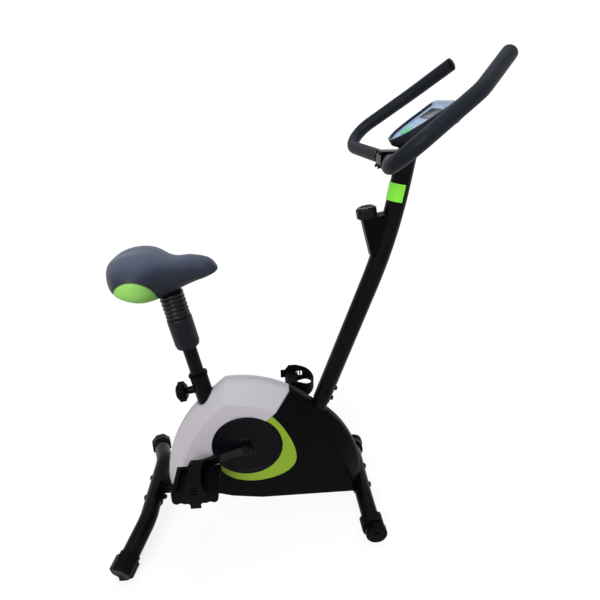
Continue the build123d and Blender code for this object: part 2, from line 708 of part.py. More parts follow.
def covers():
    """The four shells of the housing: rear and front, left and right."""
    shell = rounded_housing() - housing_solid(SHELL_WALL) - housing_openings()
    rear_mask = slab(rear_region(), -SIDE_Y - 5, SIDE_Y + 5)
    left_mask = block(-500, 500, 0, SIDE_Y + 5, 0, 600)
    rear, front = shell & rear_mask, shell - rear_mask
    return {
        "rear_cover_left": rear & left_mask,
        "rear_cover_right": rear - left_mask,
        "front_cover_left": front & left_mask,
        "front_cover_right": front - left_mask,
    }


def crescent_trim():
    """Raised crescent around the lower front of the left disc cover."""
    curve = Spline(TRIM_START, *TRIM_CURVE, TRIM_END)
    area = make_face([curve, Line(TRIM_END, TRIM_START)])
    area -= Pos(0, AXLE_Z) * Circle(DISC_R + TRIM_GAP)
    trim = slab(area, SIDE_Y, SIDE_Y + TRIM_THICK)
    return Part() + max(trim.solids(), key=lambda solid: solid.volume)


# Crank set
def crank_axle():
    """Straight axle through both crank arms."""
    return drum(0, AXLE_Z, AXLE_R, -ARM_OUT, ARM_OUT)


def disc_cover():
    """Dished left disc with a raised rim and a hub on the axle."""
    plane = Plane(origin=(0, FIN_Y, AXLE_Z), x_dir=(1, 0, 0), z_dir=(0, 1, 0))
    bore = AXLE_R + RUN_GAP
    step = DISC_RIM - DISC_THICK
    profile = ((bore, 0), (DISC_R, 0), (DISC_R, DISC_RIM - 1), (DISC_R - 1.5, DISC_RIM),
               (DISC_R - 12, DISC_RIM), (DISC_R - 15, DISC_THICK), (DISC_HUB_R + 4, DISC_THICK),
               (DISC_HUB_R, DISC_THICK + step), (bore, DISC_THICK + step))
    return turned(plane, profile)


def crank_arm(way):
    """Tapered crank arm that leans out to its pedal; way is -1 for the right one."""
    tip = pedal_place(way)
    root_end = Pos(0, AXLE_Z) * Circle(CRANK_ROOT_R)
    tip_end = Pos(*tip) * Circle(CRANK_TIP_R)
    y0, y1 = sorted((way * ARM_Y, way * TIP_OUT))
    arm = slab(make_hull(root_end.edges() + tip_end.edges()), y0, y1)
    along = Vector(tip[0], 0, tip[1] - AXLE_Z).normalized()
    plan = Plane(origin=(0, 0, AXLE_Z), x_dir=along, z_dir=along.cross(Vector(0, way, 0)))
    start, stop = (share * CRANK_LENGTH for share in CRANK_LEAN)
    far = 2 * CRANK_LENGTH
    bend = ((-far, ARM_Y), (start, ARM_Y), (stop, TIP_Y), (far, TIP_Y),
            (far, TIP_OUT), (stop, TIP_OUT), (start, ARM_OUT), (-far, ARM_OUT))
    arm = arm & extrude(plan * make_face(Polyline(*bend, close=True)), 2 * CRANK_ROOT_R, both=True)
    arm -= drum(0, AXLE_Z, AXLE_R + RUN_GAP, y0 - 1, y1 + 1)
    return arm - drum(*tip, SPINDLE_R + RUN_GAP, y0 - 1, y1 + 1)


def crank_nuts():
    """Domed nuts on the axle's ends."""
    pieces = []
    for way in (-1, 1):
        plane = Plane(origin=(0, way * ARM_OUT, AXLE_Z), x_dir=(1, 0, 0), z_dir=(0, way, 0))
        outer = CRANK_NUT_R + 3.0
        profile = ((0, 0), (outer, 0), (outer, 2), (CRANK_NUT_R, CRANK_NUT_H), (0, CRANK_NUT_H))
        pieces.append(turned(plane, profile))
    return Compound(children=pieces)


def pedal_place(way):
    """Spindle axis of a pedal in side view; way is -1 for the right one."""
    return -way * PEDAL_DX, AXLE_Z - way * PEDAL_DZ


def pedal_spindles():
    """Both pedal spindles, screwed into the crank arms."""
    pieces = []
    for way in (-1, 1):
        x, z = pedal_place(way)
        inner, outer = way * (TIP_Y + 1), way * (PEDAL_OUT - 6)
        spindle = drum(x, z, SPINDLE_R, min(inner, outer), max(inner, outer))
        flat_in, flat_out = way * TIP_OUT, way * (PEDAL_IN - 2)
        spindle += drum(x, z, SPINDLE_COLLAR_R, min(flat_in, flat_out), max(flat_in, flat_out))
        pieces.append(spindle)
    return Compound(children=pieces)


def pedal_body():
    """Left pedal about its spindle at x = z = 0: block with two pockets and a scalloped underside."""
    back, front = PEDAL_SHIFT - PEDAL_LENGTH / 2, PEDAL_SHIFT + PEDAL_LENGTH / 2
    corners = ((back, -PEDAL_BOTTOM), (front, -PEDAL_BOTTOM), (front, PEDAL_TOP), (back, PEDAL_TOP))
    outline = make_face(Polyline(*corners, close=True))
    low = outline.vertices().group_by(Axis.Y)[0]
    outline = fillet(low, PEDAL_CORNER)
    for index in range(-1, 3):
        notch_x = PEDAL_SHIFT + (index - 0.5) * PEDAL_SCALLOP_R * 2.0
        outline -= Pos(notch_x, -PEDAL_BOTTOM - PEDAL_SCALLOP_R * 0.72) * Circle(PEDAL_SCALLOP_R)
    body = slab(outline, PEDAL_IN, PEDAL_OUT)
    for way in (-1, 1):
        middle = way * (SPINDLE_R + 9 + PEDAL_WINDOW / 2)
        body -= block(middle - PEDAL_WINDOW / 2, middle + PEDAL_WINDOW / 2, PEDAL_IN + PEDAL_RIM,
                      PEDAL_OUT - PEDAL_RIM, PEDAL_TOP - PEDAL_POCKET, PEDAL_TOP + 1)
    return body - drum(0, 0, SPINDLE_R + RUN_GAP, PEDAL_IN - 1, PEDAL_OUT - 5)


def strap_outline(rise, shift):
    """Side view of a toe strap: a dome that narrows over the foot."""
    wide, slim = STRAP_WIDTH / 2, STRAP_TOP_WIDTH / 2
    foot = -PEDAL_BOTTOM - STRAP_TAIL - 1
    right = ((slim, foot), (slim, -PEDAL_BOTTOM), (wide, -PEDAL_BOTTOM / 2), (wide, PEDAL_TOP),
             (slim, rise + 1))
    left = [(-x, z) for x, z in reversed(right)]
    return Pos(shift, 0) * make_face(Polyline(*right, *left, close=True))


def pedal_strap(rise, shift):
    """Left toe strap: two flat legs on the pedal's sides and an arch between them."""
    plane = Plane(origin=(shift - STRAP_WIDTH / 2, 0, 0), x_dir=(0, 1, 0), z_dir=(1, 0, 0))
    middle = (PEDAL_IN + PEDAL_OUT) / 2
    half = PEDAL_WIDTH / 2
    spring_z = PEDAL_TOP + rise * 0.30
    arch = Ellipse(half + STRAP_THICK, rise - spring_z)
    arch -= Ellipse(half, rise - spring_z - STRAP_THICK)
    arch = Pos(middle, spring_z) * arch
    arch -= Pos(middle, spring_z - rise) * Rectangle(PEDAL_WIDTH * 3, rise * 2)
    legs = Sketch()
    for inner, foot in ((PEDAL_OUT, -PEDAL_BOTTOM - STRAP_TAIL), (PEDAL_IN - STRAP_THICK, -PEDAL_TOP)):
        height = spring_z - foot
        legs += Pos(inner + STRAP_THICK / 2, foot + height / 2) * Rectangle(STRAP_THICK, height)
    band = extrude(plane * (arch + legs), STRAP_WIDTH)
    band = band & slab(strap_outline(rise, shift), PEDAL_IN - PEDAL_WIDTH, PEDAL_OUT + PEDAL_WIDTH)
    for index in range(3):
        slot_z = PEDAL_TOP - 3 + index * (STRAP_SLOT[0] + 4.0)
        half_slot = STRAP_SLOT[1] / 2
        band -= block(shift - half_slot, shift + half_slot, PEDAL_OUT - 1, PEDAL_OUT + STRAP_THICK + 1,
                      slot_z, slot_z + STRAP_SLOT[0])
    return band - drum(0, 0, SPINDLE_COLLAR_R + FIT_GAP * 5, PEDAL_IN - STRAP_THICK * 2, PEDAL_IN + 1)


def placed_pedal(piece, way, turn):
    """Pedal piece turned about its spindle and put on its crank."""
    x, z = pedal_place(way)
    turned_piece = Rot(0, turn, 0) * piece
    if way < 0:
        turned_piece = mirrored(turned_piece)
    return Pos(x, 0, z) * turned_piece


# Drive and brake
def pulley(x, z, radius, bore, y_range):
    """Belt pulley with a groove for the belt."""
    y0, y1 = y_range
    lip = 1.0
    wheel = drum(x, z, radius, y0, y1)
    wheel += drum(x, z, radius + lip, y0, y0 + lip)
    wheel += drum(x, z, radius + lip, y1 - lip, y1)
    return wheel - drum(x, z, bore, y0 - 1, y1 + 1)


def crank_pulley():
    """Large pulley on the crank axle, with round lightening holes."""
    wheel = pulley(0, AXLE_Z, PULLEY_R, AXLE_R + RUN_GAP, PULLEY_Y)
    hole_at = PULLEY_R * 0.58
    for index in range(6):
        angle = radians(60 * index)
        wheel -= drum(hole_at * cos(angle), AXLE_Z + hole_at * sin(angle), PULLEY_R * 0.19,
                      PULLEY_Y[0] - 1, PULLEY_Y[1] + 1)
    return wheel


def drive_belt():
    """Flat belt around both pulleys."""
    def loop(extra):
        big = Pos(0, AXLE_Z) * Circle(PULLEY_R + extra)
        small = Pos(FLYWHEEL_X, FLYWHEEL_Z) * Circle(SMALL_PULLEY_R + extra)
        return make_hull(big.edges() + small.edges())
    band = loop(BELT_GAP + BELT_THICK) - loop(BELT_GAP)
    return slab(band, PULLEY_Y[0] + 1.5, PULLEY_Y[1] - 1.5)


def flywheel():
    """Heavy-rimmed flywheel and its shaft in one piece."""
    wheel = ring(FLYWHEEL_X, FLYWHEEL_Z, FLYWHEEL_R, FLYWHEEL_R - FLYWHEEL_RIM,
                 -FLYWHEEL_HALF, FLYWHEEL_HALF)
    wheel += drum(FLYWHEEL_X, FLYWHEEL_Z, FLYWHEEL_R - 1, -FLYWHEEL_WEB, FLYWHEEL_WEB)
    wheel += drum(FLYWHEEL_X, FLYWHEEL_Z, HUB_R, -FORK_Y + 3, FORK_Y - 3)
    wheel += drum(FLYWHEEL_X, FLYWHEEL_Z, SHAFT_R, -FORK_Y - FORK_THICK - 4, PULLEY_Y[1] + 2)
    return wheel


def around_flywheel(angle, radius):
    """Side-view point around the flywheel's axis."""
    return (FLYWHEEL_X + radius * cos(radians(angle)), FLYWHEEL_Z + radius * sin(radians(angle)))


def brake_pivot():
    """Pivot of the magnet brake in side view."""
    return around_flywheel(BRAKE_PIVOT_AT, BRAKE_PIVOT_R)


def brake_arm():
    """Magnet shoe over the flywheel's rim, its pivot ear and the cable's lug."""
    inner = FLYWHEEL_R + BRAKE_GAP
    outer = inner + BRAKE_DEPTH
    points = []
    for radius, angles in ((inner, (BRAKE_FROM, (BRAKE_FROM + BRAKE_TO) / 2, BRAKE_TO)),
                           (outer, (BRAKE_TO, (BRAKE_FROM + BRAKE_TO) / 2, BRAKE_FROM))):
        points.append([around_flywheel(angle, radius) for angle in angles])
    low, high = points
    shoe = make_face([ThreePointArc(*low), Line(low[2], high[0]),
                      ThreePointArc(*high), Line(high[2], low[0])])
    px, pz = brake_pivot()
    ear = Pos(px, pz) * Circle(BRAKE_EAR_R)
    root = Pos(*around_flywheel(BRAKE_FROM + 4, inner + BRAKE_DEPTH / 2)) * Circle(BRAKE_DEPTH / 2.2)
    arm = slab(shoe + make_hull(ear.edges() + root.edges()), -BRAKE_HALF, BRAKE_HALF)
    return arm - drum(px, pz, BRAKE_PIN_R + RUN_GAP, -BRAKE_HALF - 1, BRAKE_HALF + 1)


def cable_path():
    """Route of the tension cable: from its knob, down the post and out to the brake."""
    points = [(x, 0, z) for x, z in CABLE_ROUTE]
    return FilletPolyline(*points, radius=list(CABLE_RADII))


def cable_way():
    """Room for the cable where it passes through the tube walls."""
    return swept(cable_path(), CABLE_HOLE_R)


# Handlebar post and tension control
def post_bores():
    """Bores for the front bolts and the side screws of the post."""
    bores = Part()
    for along in POST_BOLT_AT:
        bores += rod(on_post(along), POST_FRONT, POST_BOLT_R + FIT_GAP, POST_R + 10)
    for way in (-1, 1):
        bores += rod(on_post(SCREW_AT), (0, way, 0), POST_BOLT_R + FIT_GAP, POST_R + 10)
    return bores


def post_bolts():
    """Front bolts, side screws and the bolts of the handlebar clamp."""
    pieces = []
    for along in POST_BOLT_AT:
        start = on_post(along) + POST_FRONT * (HEAD_R - 6)
        bolt = rod(start, POST_FRONT, POST_BOLT_R, POST_R - HEAD_R + 6 + FIT_GAP)
        seat = on_post(along) + POST_FRONT * (POST_R + FIT_GAP)
        bolt += hexagon(seat, POST_FRONT, POST_BOLT_HEAD_R, POST_BOLT_HEAD_H)
        pieces.append(bolt)
    for way in (-1, 1):
        out = Vector(0, way, 0)
        bolt = rod(on_post(SCREW_AT) + out * (HEAD_R - 6), out, POST_BOLT_R, POST_R - HEAD_R + 6 + FIT_GAP)
        bolt += rod(on_post(SCREW_AT) + out * (POST_R + FIT_GAP), out, POST_BOLT_HEAD_R,
                    POST_BOLT_HEAD_H * 0.6)
        pieces.append(bolt)
    back = BAR_CENTRE[0] - CLAMP_BACK
    for way in (-1, 1):
        for level in (-1, 1):
            head = Vector(back, way * CLAMP_BOLT_Y, BAR_CENTRE[1] + level * CLAMP_BOLT_Z)
            bolt = rod(head, (-1, 0, 0), CLAMP_HEAD_R, CLAMP_HEAD_H)
            bolt += rod(head, (1, 0, 0), CLAMP_BOLT_R, CLAMP_BACK)
            pieces.append(bolt)
    return Compound(children=pieces)


def handlebar_post():
    """Bent round post that slips over the frame's stub."""
    return swept(POST_PATH, POST_R, POST_R - TUBE_WALL) - post_bores() - cable_way()


def post_band():
    """Open coloured band around the rear of the post."""
    middle = (BAND_Z[0] + BAND_Z[1]) / 2
    share = min(range(400), key=lambda step: abs((POST_PATH @ (step / 400)).Z - middle)) / 400
    centre, along = POST_PATH @ share, POST_PATH % share
    length = (BAND_Z[1] - BAND_Z[0]) / along.Z
    plane = Plane(origin=centre - along * (length / 2), x_dir=Vector(0, 1, 0).cross(along), z_dir=along)
    inner = POST_R + FIT_GAP * 2
    section = Circle(inner + BAND_THICK) - Circle(inner)
    reach = inner * 3
    half = radians(BAND_OPEN / 2)
    far, wide = reach * cos(half), reach * sin(half)
    wedge = ((0, 0), (far, wide), (reach, wide), (reach, -wide), (far, -wide))
    section -= make_face(Polyline(*wedge, close=True))
    return extrude(plane * section, length)


KNOB_DIR = Vector(-sin(radians(KNOB_LEAN)), 0, cos(radians(KNOB_LEAN)))


def knob_base():
    """Underside of the tension knob, on its own axis."""
    return Vector(KNOB_CENTRE[0], 0, KNOB_CENTRE[1]) - KNOB_DIR * (KNOB_H / 2)


def tension_housing():
    """Wedge bracket on the back of the post, with the bore of the knob's stem."""
    wedge = slab(make_face(Polyline(*WEDGE, close=True)), -WEDGE_HALF, WEDGE_HALF)
    wedge = fillet(wedge.edges().filter_by(Axis.Y).sort_by(Axis.X)[0], 4)
    wedge -= swept(POST_PATH, POST_R + FIT_GAP)
    under = knob_base() - KNOB_DIR * RUN_GAP * 6
    above = rod(under, KNOB_DIR, KNOB_R * 3, KNOB_H * 2)
    stem = rod(under, -KNOB_DIR, KNOB_STEM_R + RUN_GAP, KNOB_STEM + 1)
    wedge = wedge - above - stem - cable_way()
    return Part() + max(wedge.solids(), key=lambda solid: solid.volume)


def tension_knob():
    """Round ribbed knob with a stem in the bracket."""
    base = knob_base()
    plane = Plane(origin=base, x_dir=(0, 1, 0), z_dir=KNOB_DIR)
    core = KNOB_R - KNOB_RIB_R * 0.5
    profile = ((0, 0), (core, 0), (core, KNOB_H - 4), (core - 4, KNOB_H), (core - 9, KNOB_H),
               (core - 11, KNOB_H - 2), (0, KNOB_H - 2))
    knob = turned(plane, profile)
    for index in range(KNOB_RIBS):
        angle = radians(360 * index / KNOB_RIBS)
        spot = plane * Pos((KNOB_R - KNOB_RIB_R) * cos(angle), (KNOB_R - KNOB_RIB_R) * sin(angle), 0)
        knob += spot * Pos(0, 0, (KNOB_H - 4) / 2) * Cylinder(KNOB_RIB_R, KNOB_H - 4)
    return knob + rod(base, -KNOB_DIR, KNOB_STEM_R, KNOB_STEM)


# Handlebar
def bar_points(way):
    """Handlebar points from the middle to one end."""
    return [
        Vector(BAR_CENTRE[0], way * BAR_STRAIGHT, BAR_CENTRE[1]),
        Vector(BAR_CORNER[0], way * BAR_CORNER[1], BAR_CORNER[2]),
        Vector(BAR_KINK[0], way * BAR_KINK[1], BAR_KINK[2]),
        Vector(BAR_END[0], way * BAR_END[1], BAR_END[2]),
    ]


def handlebar():
    """One bent tube from grip to grip."""
    right, left = bar_points(-1), bar_points(1)
    near, corner, kink = BAR_RADII
    path = FilletPolyline(*reversed(right), *left, radius=[kink, corner, near, near, corner, kink])
    return swept(path, BAR_R, BAR_R - BAR_WALL)


def grip():
    """Left foam grip, from beside the clamp around the bend to the bar's end."""
    near, corner, kink, end = bar_points(1)
    share = (GRIP_START - near.Y) / (corner.Y - near.Y)
    start = near + (corner - near) * share
    path = FilletPolyline(start, corner, kink, end, radius=[BAR_RADII[1], BAR_RADII[2]])
    return swept(path, BAR_R + FIT_GAP + GRIP_THICK, BAR_R + FIT_GAP)


def bar_end_caps():
    """Domed plugs in the bar's two ends."""
    pieces = []
    rim = BAR_R + GRIP_THICK
    for way in (-1, 1):
        kink, end = bar_points(way)[2:]
        out = (end - kink).normalized()
        plane = Plane(origin=end, z_dir=out)
        profile = ((0, 0), (rim, 0), (rim, BAR_PLUG_H * 0.35), (rim * 0.72, BAR_PLUG_H * 0.8),
                   (rim * 0.4, BAR_PLUG_H), (0, BAR_PLUG_H))
        plug = turned(plane, profile)
        pieces.append(plug + rod(end, -out, BAR_R - BAR_WALL - FIT_GAP, 20))
    return Compound(children=pieces)


def bar_clamp():
    """Clamp block between the post's top and the handlebar."""
    x, z = BAR_CENTRE
    body = block(x - CLAMP_BACK, x + POST_R * 1.8, -CLAMP_HALF_Y, CLAMP_HALF_Y,
                 z - CLAMP_HALF_Z, z + CLAMP_HALF_Z)
    body = fillet(body.edges().filter_by(Axis.Y).group_by(Axis.X)[0], 6)
    body -= drum(x, z, BAR_R + FIT_GAP, -CLAMP_HALF_Y - 1, CLAMP_HALF_Y + 1)
    body -= swept(POST_PATH, POST_R + FIT_GAP)
    front = POST_TOP - POST_TOP_DIR * 20
    body -= block(front.X, front.X + 200, -100, 100, z - 100, z + 100)
    body -= rod(POST_TOP - POST_TOP_DIR * 60, POST_TOP_DIR, POST_R + FIT_GAP, 200)
    for way in (-1, 1):
        for level in (-1, 1):
            start = (x - CLAMP_BACK - 1, way * CLAMP_BOLT_Y, z + level * CLAMP_BOLT_Z)
            body -= rod(start, (1, 0, 0), CLAMP_BOLT_R + RUN_GAP, CLAMP_BACK + 2)
    return Part() + max(body.solids(), key=lambda solid: solid.volume)


# Console
TILT = radians(CONSOLE_TILT)
CONSOLE = Plane(origin=(CONSOLE_CENTRE[0], 0, CONSOLE_CENTRE[1]), x_dir=(cos(TILT), 0, sin(TILT)),
                z_dir=(-sin(TILT), 0, cos(TILT)))


FACE_LEVEL = -FACE_RECESS                       # top of the face plate under the rim
FACE_FOOT = FACE_LEVEL - FACE_THICK


def console_outline(margin=0.0):
    """Console outline: round near the rider and broad at the far end, inset by a margin."""
    share = 1 + margin / CONSOLE_TIP
    right = [(along * share, margin - half) for along, half in reversed(CONSOLE_HALF)]
    left = [(along * share, half - margin) for along, half in CONSOLE_HALF]
    edge = Spline(*right, (CONSOLE_TIP * share, 0), *left)
    face = make_face(edge + Line(left[-1], right[0]))
    return fillet(face.vertices(), CONSOLE_CORNER)


def button_shape(gap=0.0):
    """Outline of the oval push button."""
    return CONSOLE * Pos(BUTTON_AT, 0) * Ellipse(BUTTON_RADII[0] + gap, BUTTON_RADII[1] + gap)


def console_body():
    """Dished console case with a neck on the post's top and a pocket for the button."""
    outline = console_outline()
    body = extrude(CONSOLE * outline, -CONSOLE_RIM)
    waist = CONSOLE * Pos(0, 0, -CONSOLE_RIM) * outline
    low = CONSOLE * Pos(CONSOLE_SHIFT, 0, -CONSOLE_DEPTH) * scale(outline, by=CONSOLE_TAPER)
    body += loft([waist, low], ruled=True)
    body -= swept(POST_PATH, POST_R + FIT_GAP)
    body += rod(POST_TOP, POST_TOP_DIR, POST_R - 3, CONSOLE_NECK)
    recess = extrude(CONSOLE * console_outline(FACE_MARGIN), FACE_FOOT)
    pocket = FACE_FOOT - BUTTON_STEM - BUTTON_TRAVEL - 1
    return body - recess - extrude(button_shape(BUTTON_GAP), pocket)


def console_face():
    """Printed face plate let into the case."""
    plate = extrude(CONSOLE * Pos(0, 0, FACE_LEVEL) * console_outline(FACE_MARGIN + FIT_GAP), -FACE_THICK)
    return plate - extrude(button_shape(BUTTON_GAP), FACE_FOOT)


def console_lens():
    """Flat window of the display."""
    length, width, thick = LENS_SIZE
    return extrude(CONSOLE * Pos(LENS_AT, 0, FACE_LEVEL) * RectangleRounded(length, width, 4), thick)


def console_button():
    """Oval push button near the rider."""
    height = FACE_THICK + BUTTON_STEM + BUTTON_PROUD
    cap = Pos(CONSOLE.z_dir * (FACE_FOOT - BUTTON_STEM)) * extrude(button_shape(), height)
    top = cap.faces().sort_by(Axis(CONSOLE.origin, CONSOLE.z_dir))[-1]
    return fillet(top.edges(), BUTTON_PROUD * 0.5)


# Seat post and saddle
def seat_tube_bush():
    """Plastic bush in the seat tube's mouth."""
    plane = seat_plane(SEAT_TUBE_LENGTH)
    bore = POST_TUBE_R + RUN_GAP
    body = SEAT_TUBE_R - TUBE_WALL - RUN_GAP
    profile = ((bore, -BUSH_DEPTH), (body, -BUSH_DEPTH), (body, 0), (SEAT_TUBE_R + 2, 0),
               (SEAT_TUBE_R + 2, BUSH_FLANGE - 2), (SEAT_TUBE_R, BUSH_FLANGE), (bore, BUSH_FLANGE))
    return turned(plane, profile)


def seat_post():
    """Height post with a row of holes at its back."""
    length = SLEEVE_FOOT + SLEEVE_SOCKET - POST_TUBE_FOOT
    section = Circle(POST_TUBE_R) - Circle(POST_TUBE_R - POST_TUBE_WALL)
    tube = extrude(seat_plane(POST_TUBE_FOOT) * section, length)
    for index in range(PIN_HOLES):
        spot = on_seat(PIN_AT + (index - PIN_HOLES // 2) * PIN_HOLE_PITCH)
        tube -= rod(spot, SEAT_BACK, PIN_R, POST_TUBE_R + 5)
    return tube


def seat_sleeve():
    """Guide sleeve on the seat post for the sprung saddle shaft."""
    plane = seat_plane(SLEEVE_FOOT)
    socket = POST_TUBE_R + FIT_GAP
    bore = SADDLE_SHAFT_R + RUN_GAP
    profile = ((socket, 0), (SLEEVE_R - 2, 0), (SLEEVE_R, 2), (SLEEVE_R, SLEEVE_LENGTH - 2),
               (SLEEVE_R - 2, SLEEVE_LENGTH), (bore, SLEEVE_LENGTH), (bore, SLEEVE_SOCKET + FIT_GAP),
               (socket, SLEEVE_SOCKET + FIT_GAP))
    return turned(plane, profile)


SLEEVE_TOP = SLEEVE_FOOT + SLEEVE_LENGTH
SADDLE_FOOT = SLEEVE_TOP + BELLOWS_LENGTH      # underside of the saddle's boss
SADDLE_AT = on_seat(SADDLE_FOOT)


def saddle_shaft():
    """Sliding shaft under the saddle."""
    return extrude(seat_plane(SHAFT_FOOT) * Circle(SADDLE_SHAFT_R), SADDLE_FOOT - SHAFT_FOOT)


def ripple(outer, depth, count, foot, length):
    """Zigzag profile of folds along an axis, as (radius, height) points."""
    points = []
    for index in range(count):
        low = foot + length * index / count
        points.append((outer - depth, low))
        points.append((outer, low + length / count / 2))
    points.append((outer - depth, foot + length))
    return points


def saddle_bellows():
    """Folded rubber boot around the saddle's spring."""
    gap = SPRING_END_GAP
    length = BELLOWS_LENGTH - 2 * gap
    outside = ripple(BELLOWS_R, BELLOWS_FOLD, BELLOWS_FOLDS, gap, length)
    inside = ripple(BELLOWS_R - BELLOWS_WALL, BELLOWS_FOLD, BELLOWS_FOLDS, gap, length)
    return turned(seat_plane(SLEEVE_TOP), (*outside, *reversed(inside)))


def saddle_spring():
    """Stack of rubber spring rings around the saddle's shaft."""
    gap = SPRING_END_GAP
    length = BELLOWS_LENGTH - 2 * gap
    outside = ripple(SPRING_R, SPRING_GROOVE, SPRING_RINGS, gap, length)
    bore = SADDLE_SHAFT_R + SPRING_END_GAP
    profile = ((bore, gap), *outside, (bore, gap + length))
    return turned(seat_plane(SLEEVE_TOP), profile)


def saddle_section(x, half, middle, top):
    """One cross-section of the saddle: an ellipse facing forward."""
    plane = Plane(origin=SADDLE_AT + Vector(x, 0, middle), x_dir=(0, 1, 0), z_dir=(1, 0, 0))
    return plane * Ellipse(half, top - middle)


def pan_outline(gap=0.0):
    """Plan view of the pan, let out by a gap."""
    right = [(x, -half) for x, half in PAN]
    left = [(x, half) for x, half in reversed(PAN)]
    outline = make_face(Polyline(*right, *left, close=True))
    if gap:
        outline = offset(outline, amount=gap, kind=Kind.INTERSECTION)
    return outline


def pan_boss(gap=0.0):
    """Boss under the pan on the shaft's axis, let out by a gap."""
    return extrude(seat_plane(SADDLE_FOOT) * Circle(PAN_BOSS_R + gap), PAN_RISE - PAN_THICK / 2 + gap)


def saddle_cushion():
    """Padded saddle: one smooth body through its sections, its underside cut out for the pan."""
    body = loft([saddle_section(*row) for row in SADDLE])
    rear, front = 2 * SADDLE[0][0], 2 * SADDLE[-1][0]
    rim = PAN_RISE - SADDLE_SKIRT
    line = ((rear, rim), (SADDLE_FLAT_TO, rim), *SADDLE_UNDERSIDE, (front, SADDLE_UNDERSIDE[-1][1]),
            (front, rear), (rear, rear))
    points = [(SADDLE_AT.X + x, SADDLE_AT.Z + z) for x, z in line]
    widest = 2 * max(row[1] for row in SADDLE)
    body -= slab(make_face(Polyline(*points, close=True)), -widest, widest)
    body -= extrude(Pos(SADDLE_AT) * pan_outline(FIT_GAP), PAN_RISE)
    return body - pan_boss(FIT_GAP)


def saddle_pan():
    """Moulded pan under the cushion with the boss of the sprung shaft."""
    pan = extrude(Pos(SADDLE_AT + Vector(0, 0, PAN_RISE - PAN_THICK)) * pan_outline(), PAN_THICK)
    return pan + pan_boss()


def seat_knob():
    """Lobed pull knob, its neck and the height pin."""
    seat_face = SEAT_TUBE_R + PIN_BOSS + FIT_GAP
    tip = POST_TUBE_R + FIT_GAP
    start = on_seat(PIN_AT)
    pin = rod(start + SEAT_BACK * tip, SEAT_BACK, PIN_R, seat_face - tip + 2)
    neck = rod(start + SEAT_BACK * seat_face, SEAT_BACK, PIN_NECK_R, PIN_NECK)
    plane = Plane(origin=start + SEAT_BACK * (seat_face + PIN_NECK), x_dir=(0, 1, 0), z_dir=SEAT_BACK)
    core = PIN_KNOB_R * 0.86
    head = turned(plane, ((0, 0), (core * 0.8, 0), (core, 4), (core, PIN_KNOB_H - 5),
                          (core * 0.75, PIN_KNOB_H), (0, PIN_KNOB_H)))
    lobe = PIN_KNOB_R * 0.24
    for index in range(PIN_LOBES):
        angle = radians(360 * index / PIN_LOBES)
        out = PIN_KNOB_R - lobe
        spot = plane * Pos(out * cos(angle), out * sin(angle), PIN_KNOB_H / 2)
        head += spot * Cylinder(lobe, PIN_KNOB_H - 10)
    return pin + neck + head


def all_pieces():
    """Every piece by its node name."""
    cap, foot, wheel = rear_cap(), front_cap(), transport_wheel()
    trim, disc, foam = crescent_trim(), disc_cover(), grip()
    pieces = {
        "main_beam": main_beam(),
        "seat_tube": seat_tube(),
        "head_tube": head_tube(),
        "bottom_bracket": bottom_bracket(),
        "bearings": bearings(),
        "rear_stabiliser": stabiliser(REAR_PATH, REAR_X, REAR_Z),
        "front_stabiliser": stabiliser(FRONT_PATH, FRONT_X, FRONT_Z),
        "stabiliser_bolts": stabiliser_bolts(),
        "rear_cap_left": cap,
        "rear_cap_right": mirrored(cap),
        "front_cap_left": foot,
        "front_cap_right": mirrored(foot),
        "transport_wheel_left": wheel,
        "transport_wheel_right": mirrored(wheel),
        **covers(),
        "crescent_trim_left": trim,
        "crescent_trim_right": mirrored(trim),
        "crank_axle": crank_axle(),
        "crank_pulley": crank_pulley(),
        "crank_nuts": crank_nuts(),
        "crank_arm_right": crank_arm(-1),
        "crank_arm_left": crank_arm(1),
        "disc_cover_left": disc,
        "disc_cover_right": mirrored(disc),
        "pedal_spindles": pedal_spindles(),
        "pedal_right": placed_pedal(pedal_body(), -1, 0),
        "pedal_left": placed_pedal(pedal_body(), 1, LEFT_PEDAL_TURN),
        "pedal_strap_right": placed_pedal(pedal_strap(STRAP_RISE_RIGHT, STRAP_SHIFT_RIGHT), -1, 0),
        "pedal_strap_left": placed_pedal(pedal_strap(STRAP_RISE_LEFT, STRAP_SHIFT_LEFT), 1,
                                         LEFT_PEDAL_TURN),
        "drive_belt": drive_belt(),
        "flywheel": flywheel(),
        "flywheel_pulley": pulley(FLYWHEEL_X, FLYWHEEL_Z, SMALL_PULLEY_R, SHAFT_R + RUN_GAP, PULLEY_Y),
        "brake_arm": brake_arm(),
        "tension_cable": swept(cable_path(), CABLE_R),
        "handlebar_post": handlebar_post(),
        "post_bolts": post_bolts(),
        "post_band": post_band(),
        "tension_housing": tension_housing(),
        "tension_knob": tension_knob(),
        "handlebar": handlebar(),
        "bar_clamp": bar_clamp(),
        "grip_left": foam,
        "grip_right": mirrored(foam),
        "bar_end_caps": bar_end_caps(),
        "console_body": console_body(),
        "console_face": console_face(),
        "console_lens": console_lens(),
        "console_button": console_button(),
        "seat_tube_bush": seat_tube_bush(),
        "seat_post": seat_post(),
        "seat_sleeve": seat_sleeve(),
        "saddle_shaft": saddle_shaft(),
        "saddle_bellows": saddle_bellows(),
        "saddle_spring": saddle_spring(),
        "saddle_pan": saddle_pan(),
        "saddle_cushion": saddle_cushion(),
        "seat_knob": seat_knob(),
    }
    return pieces


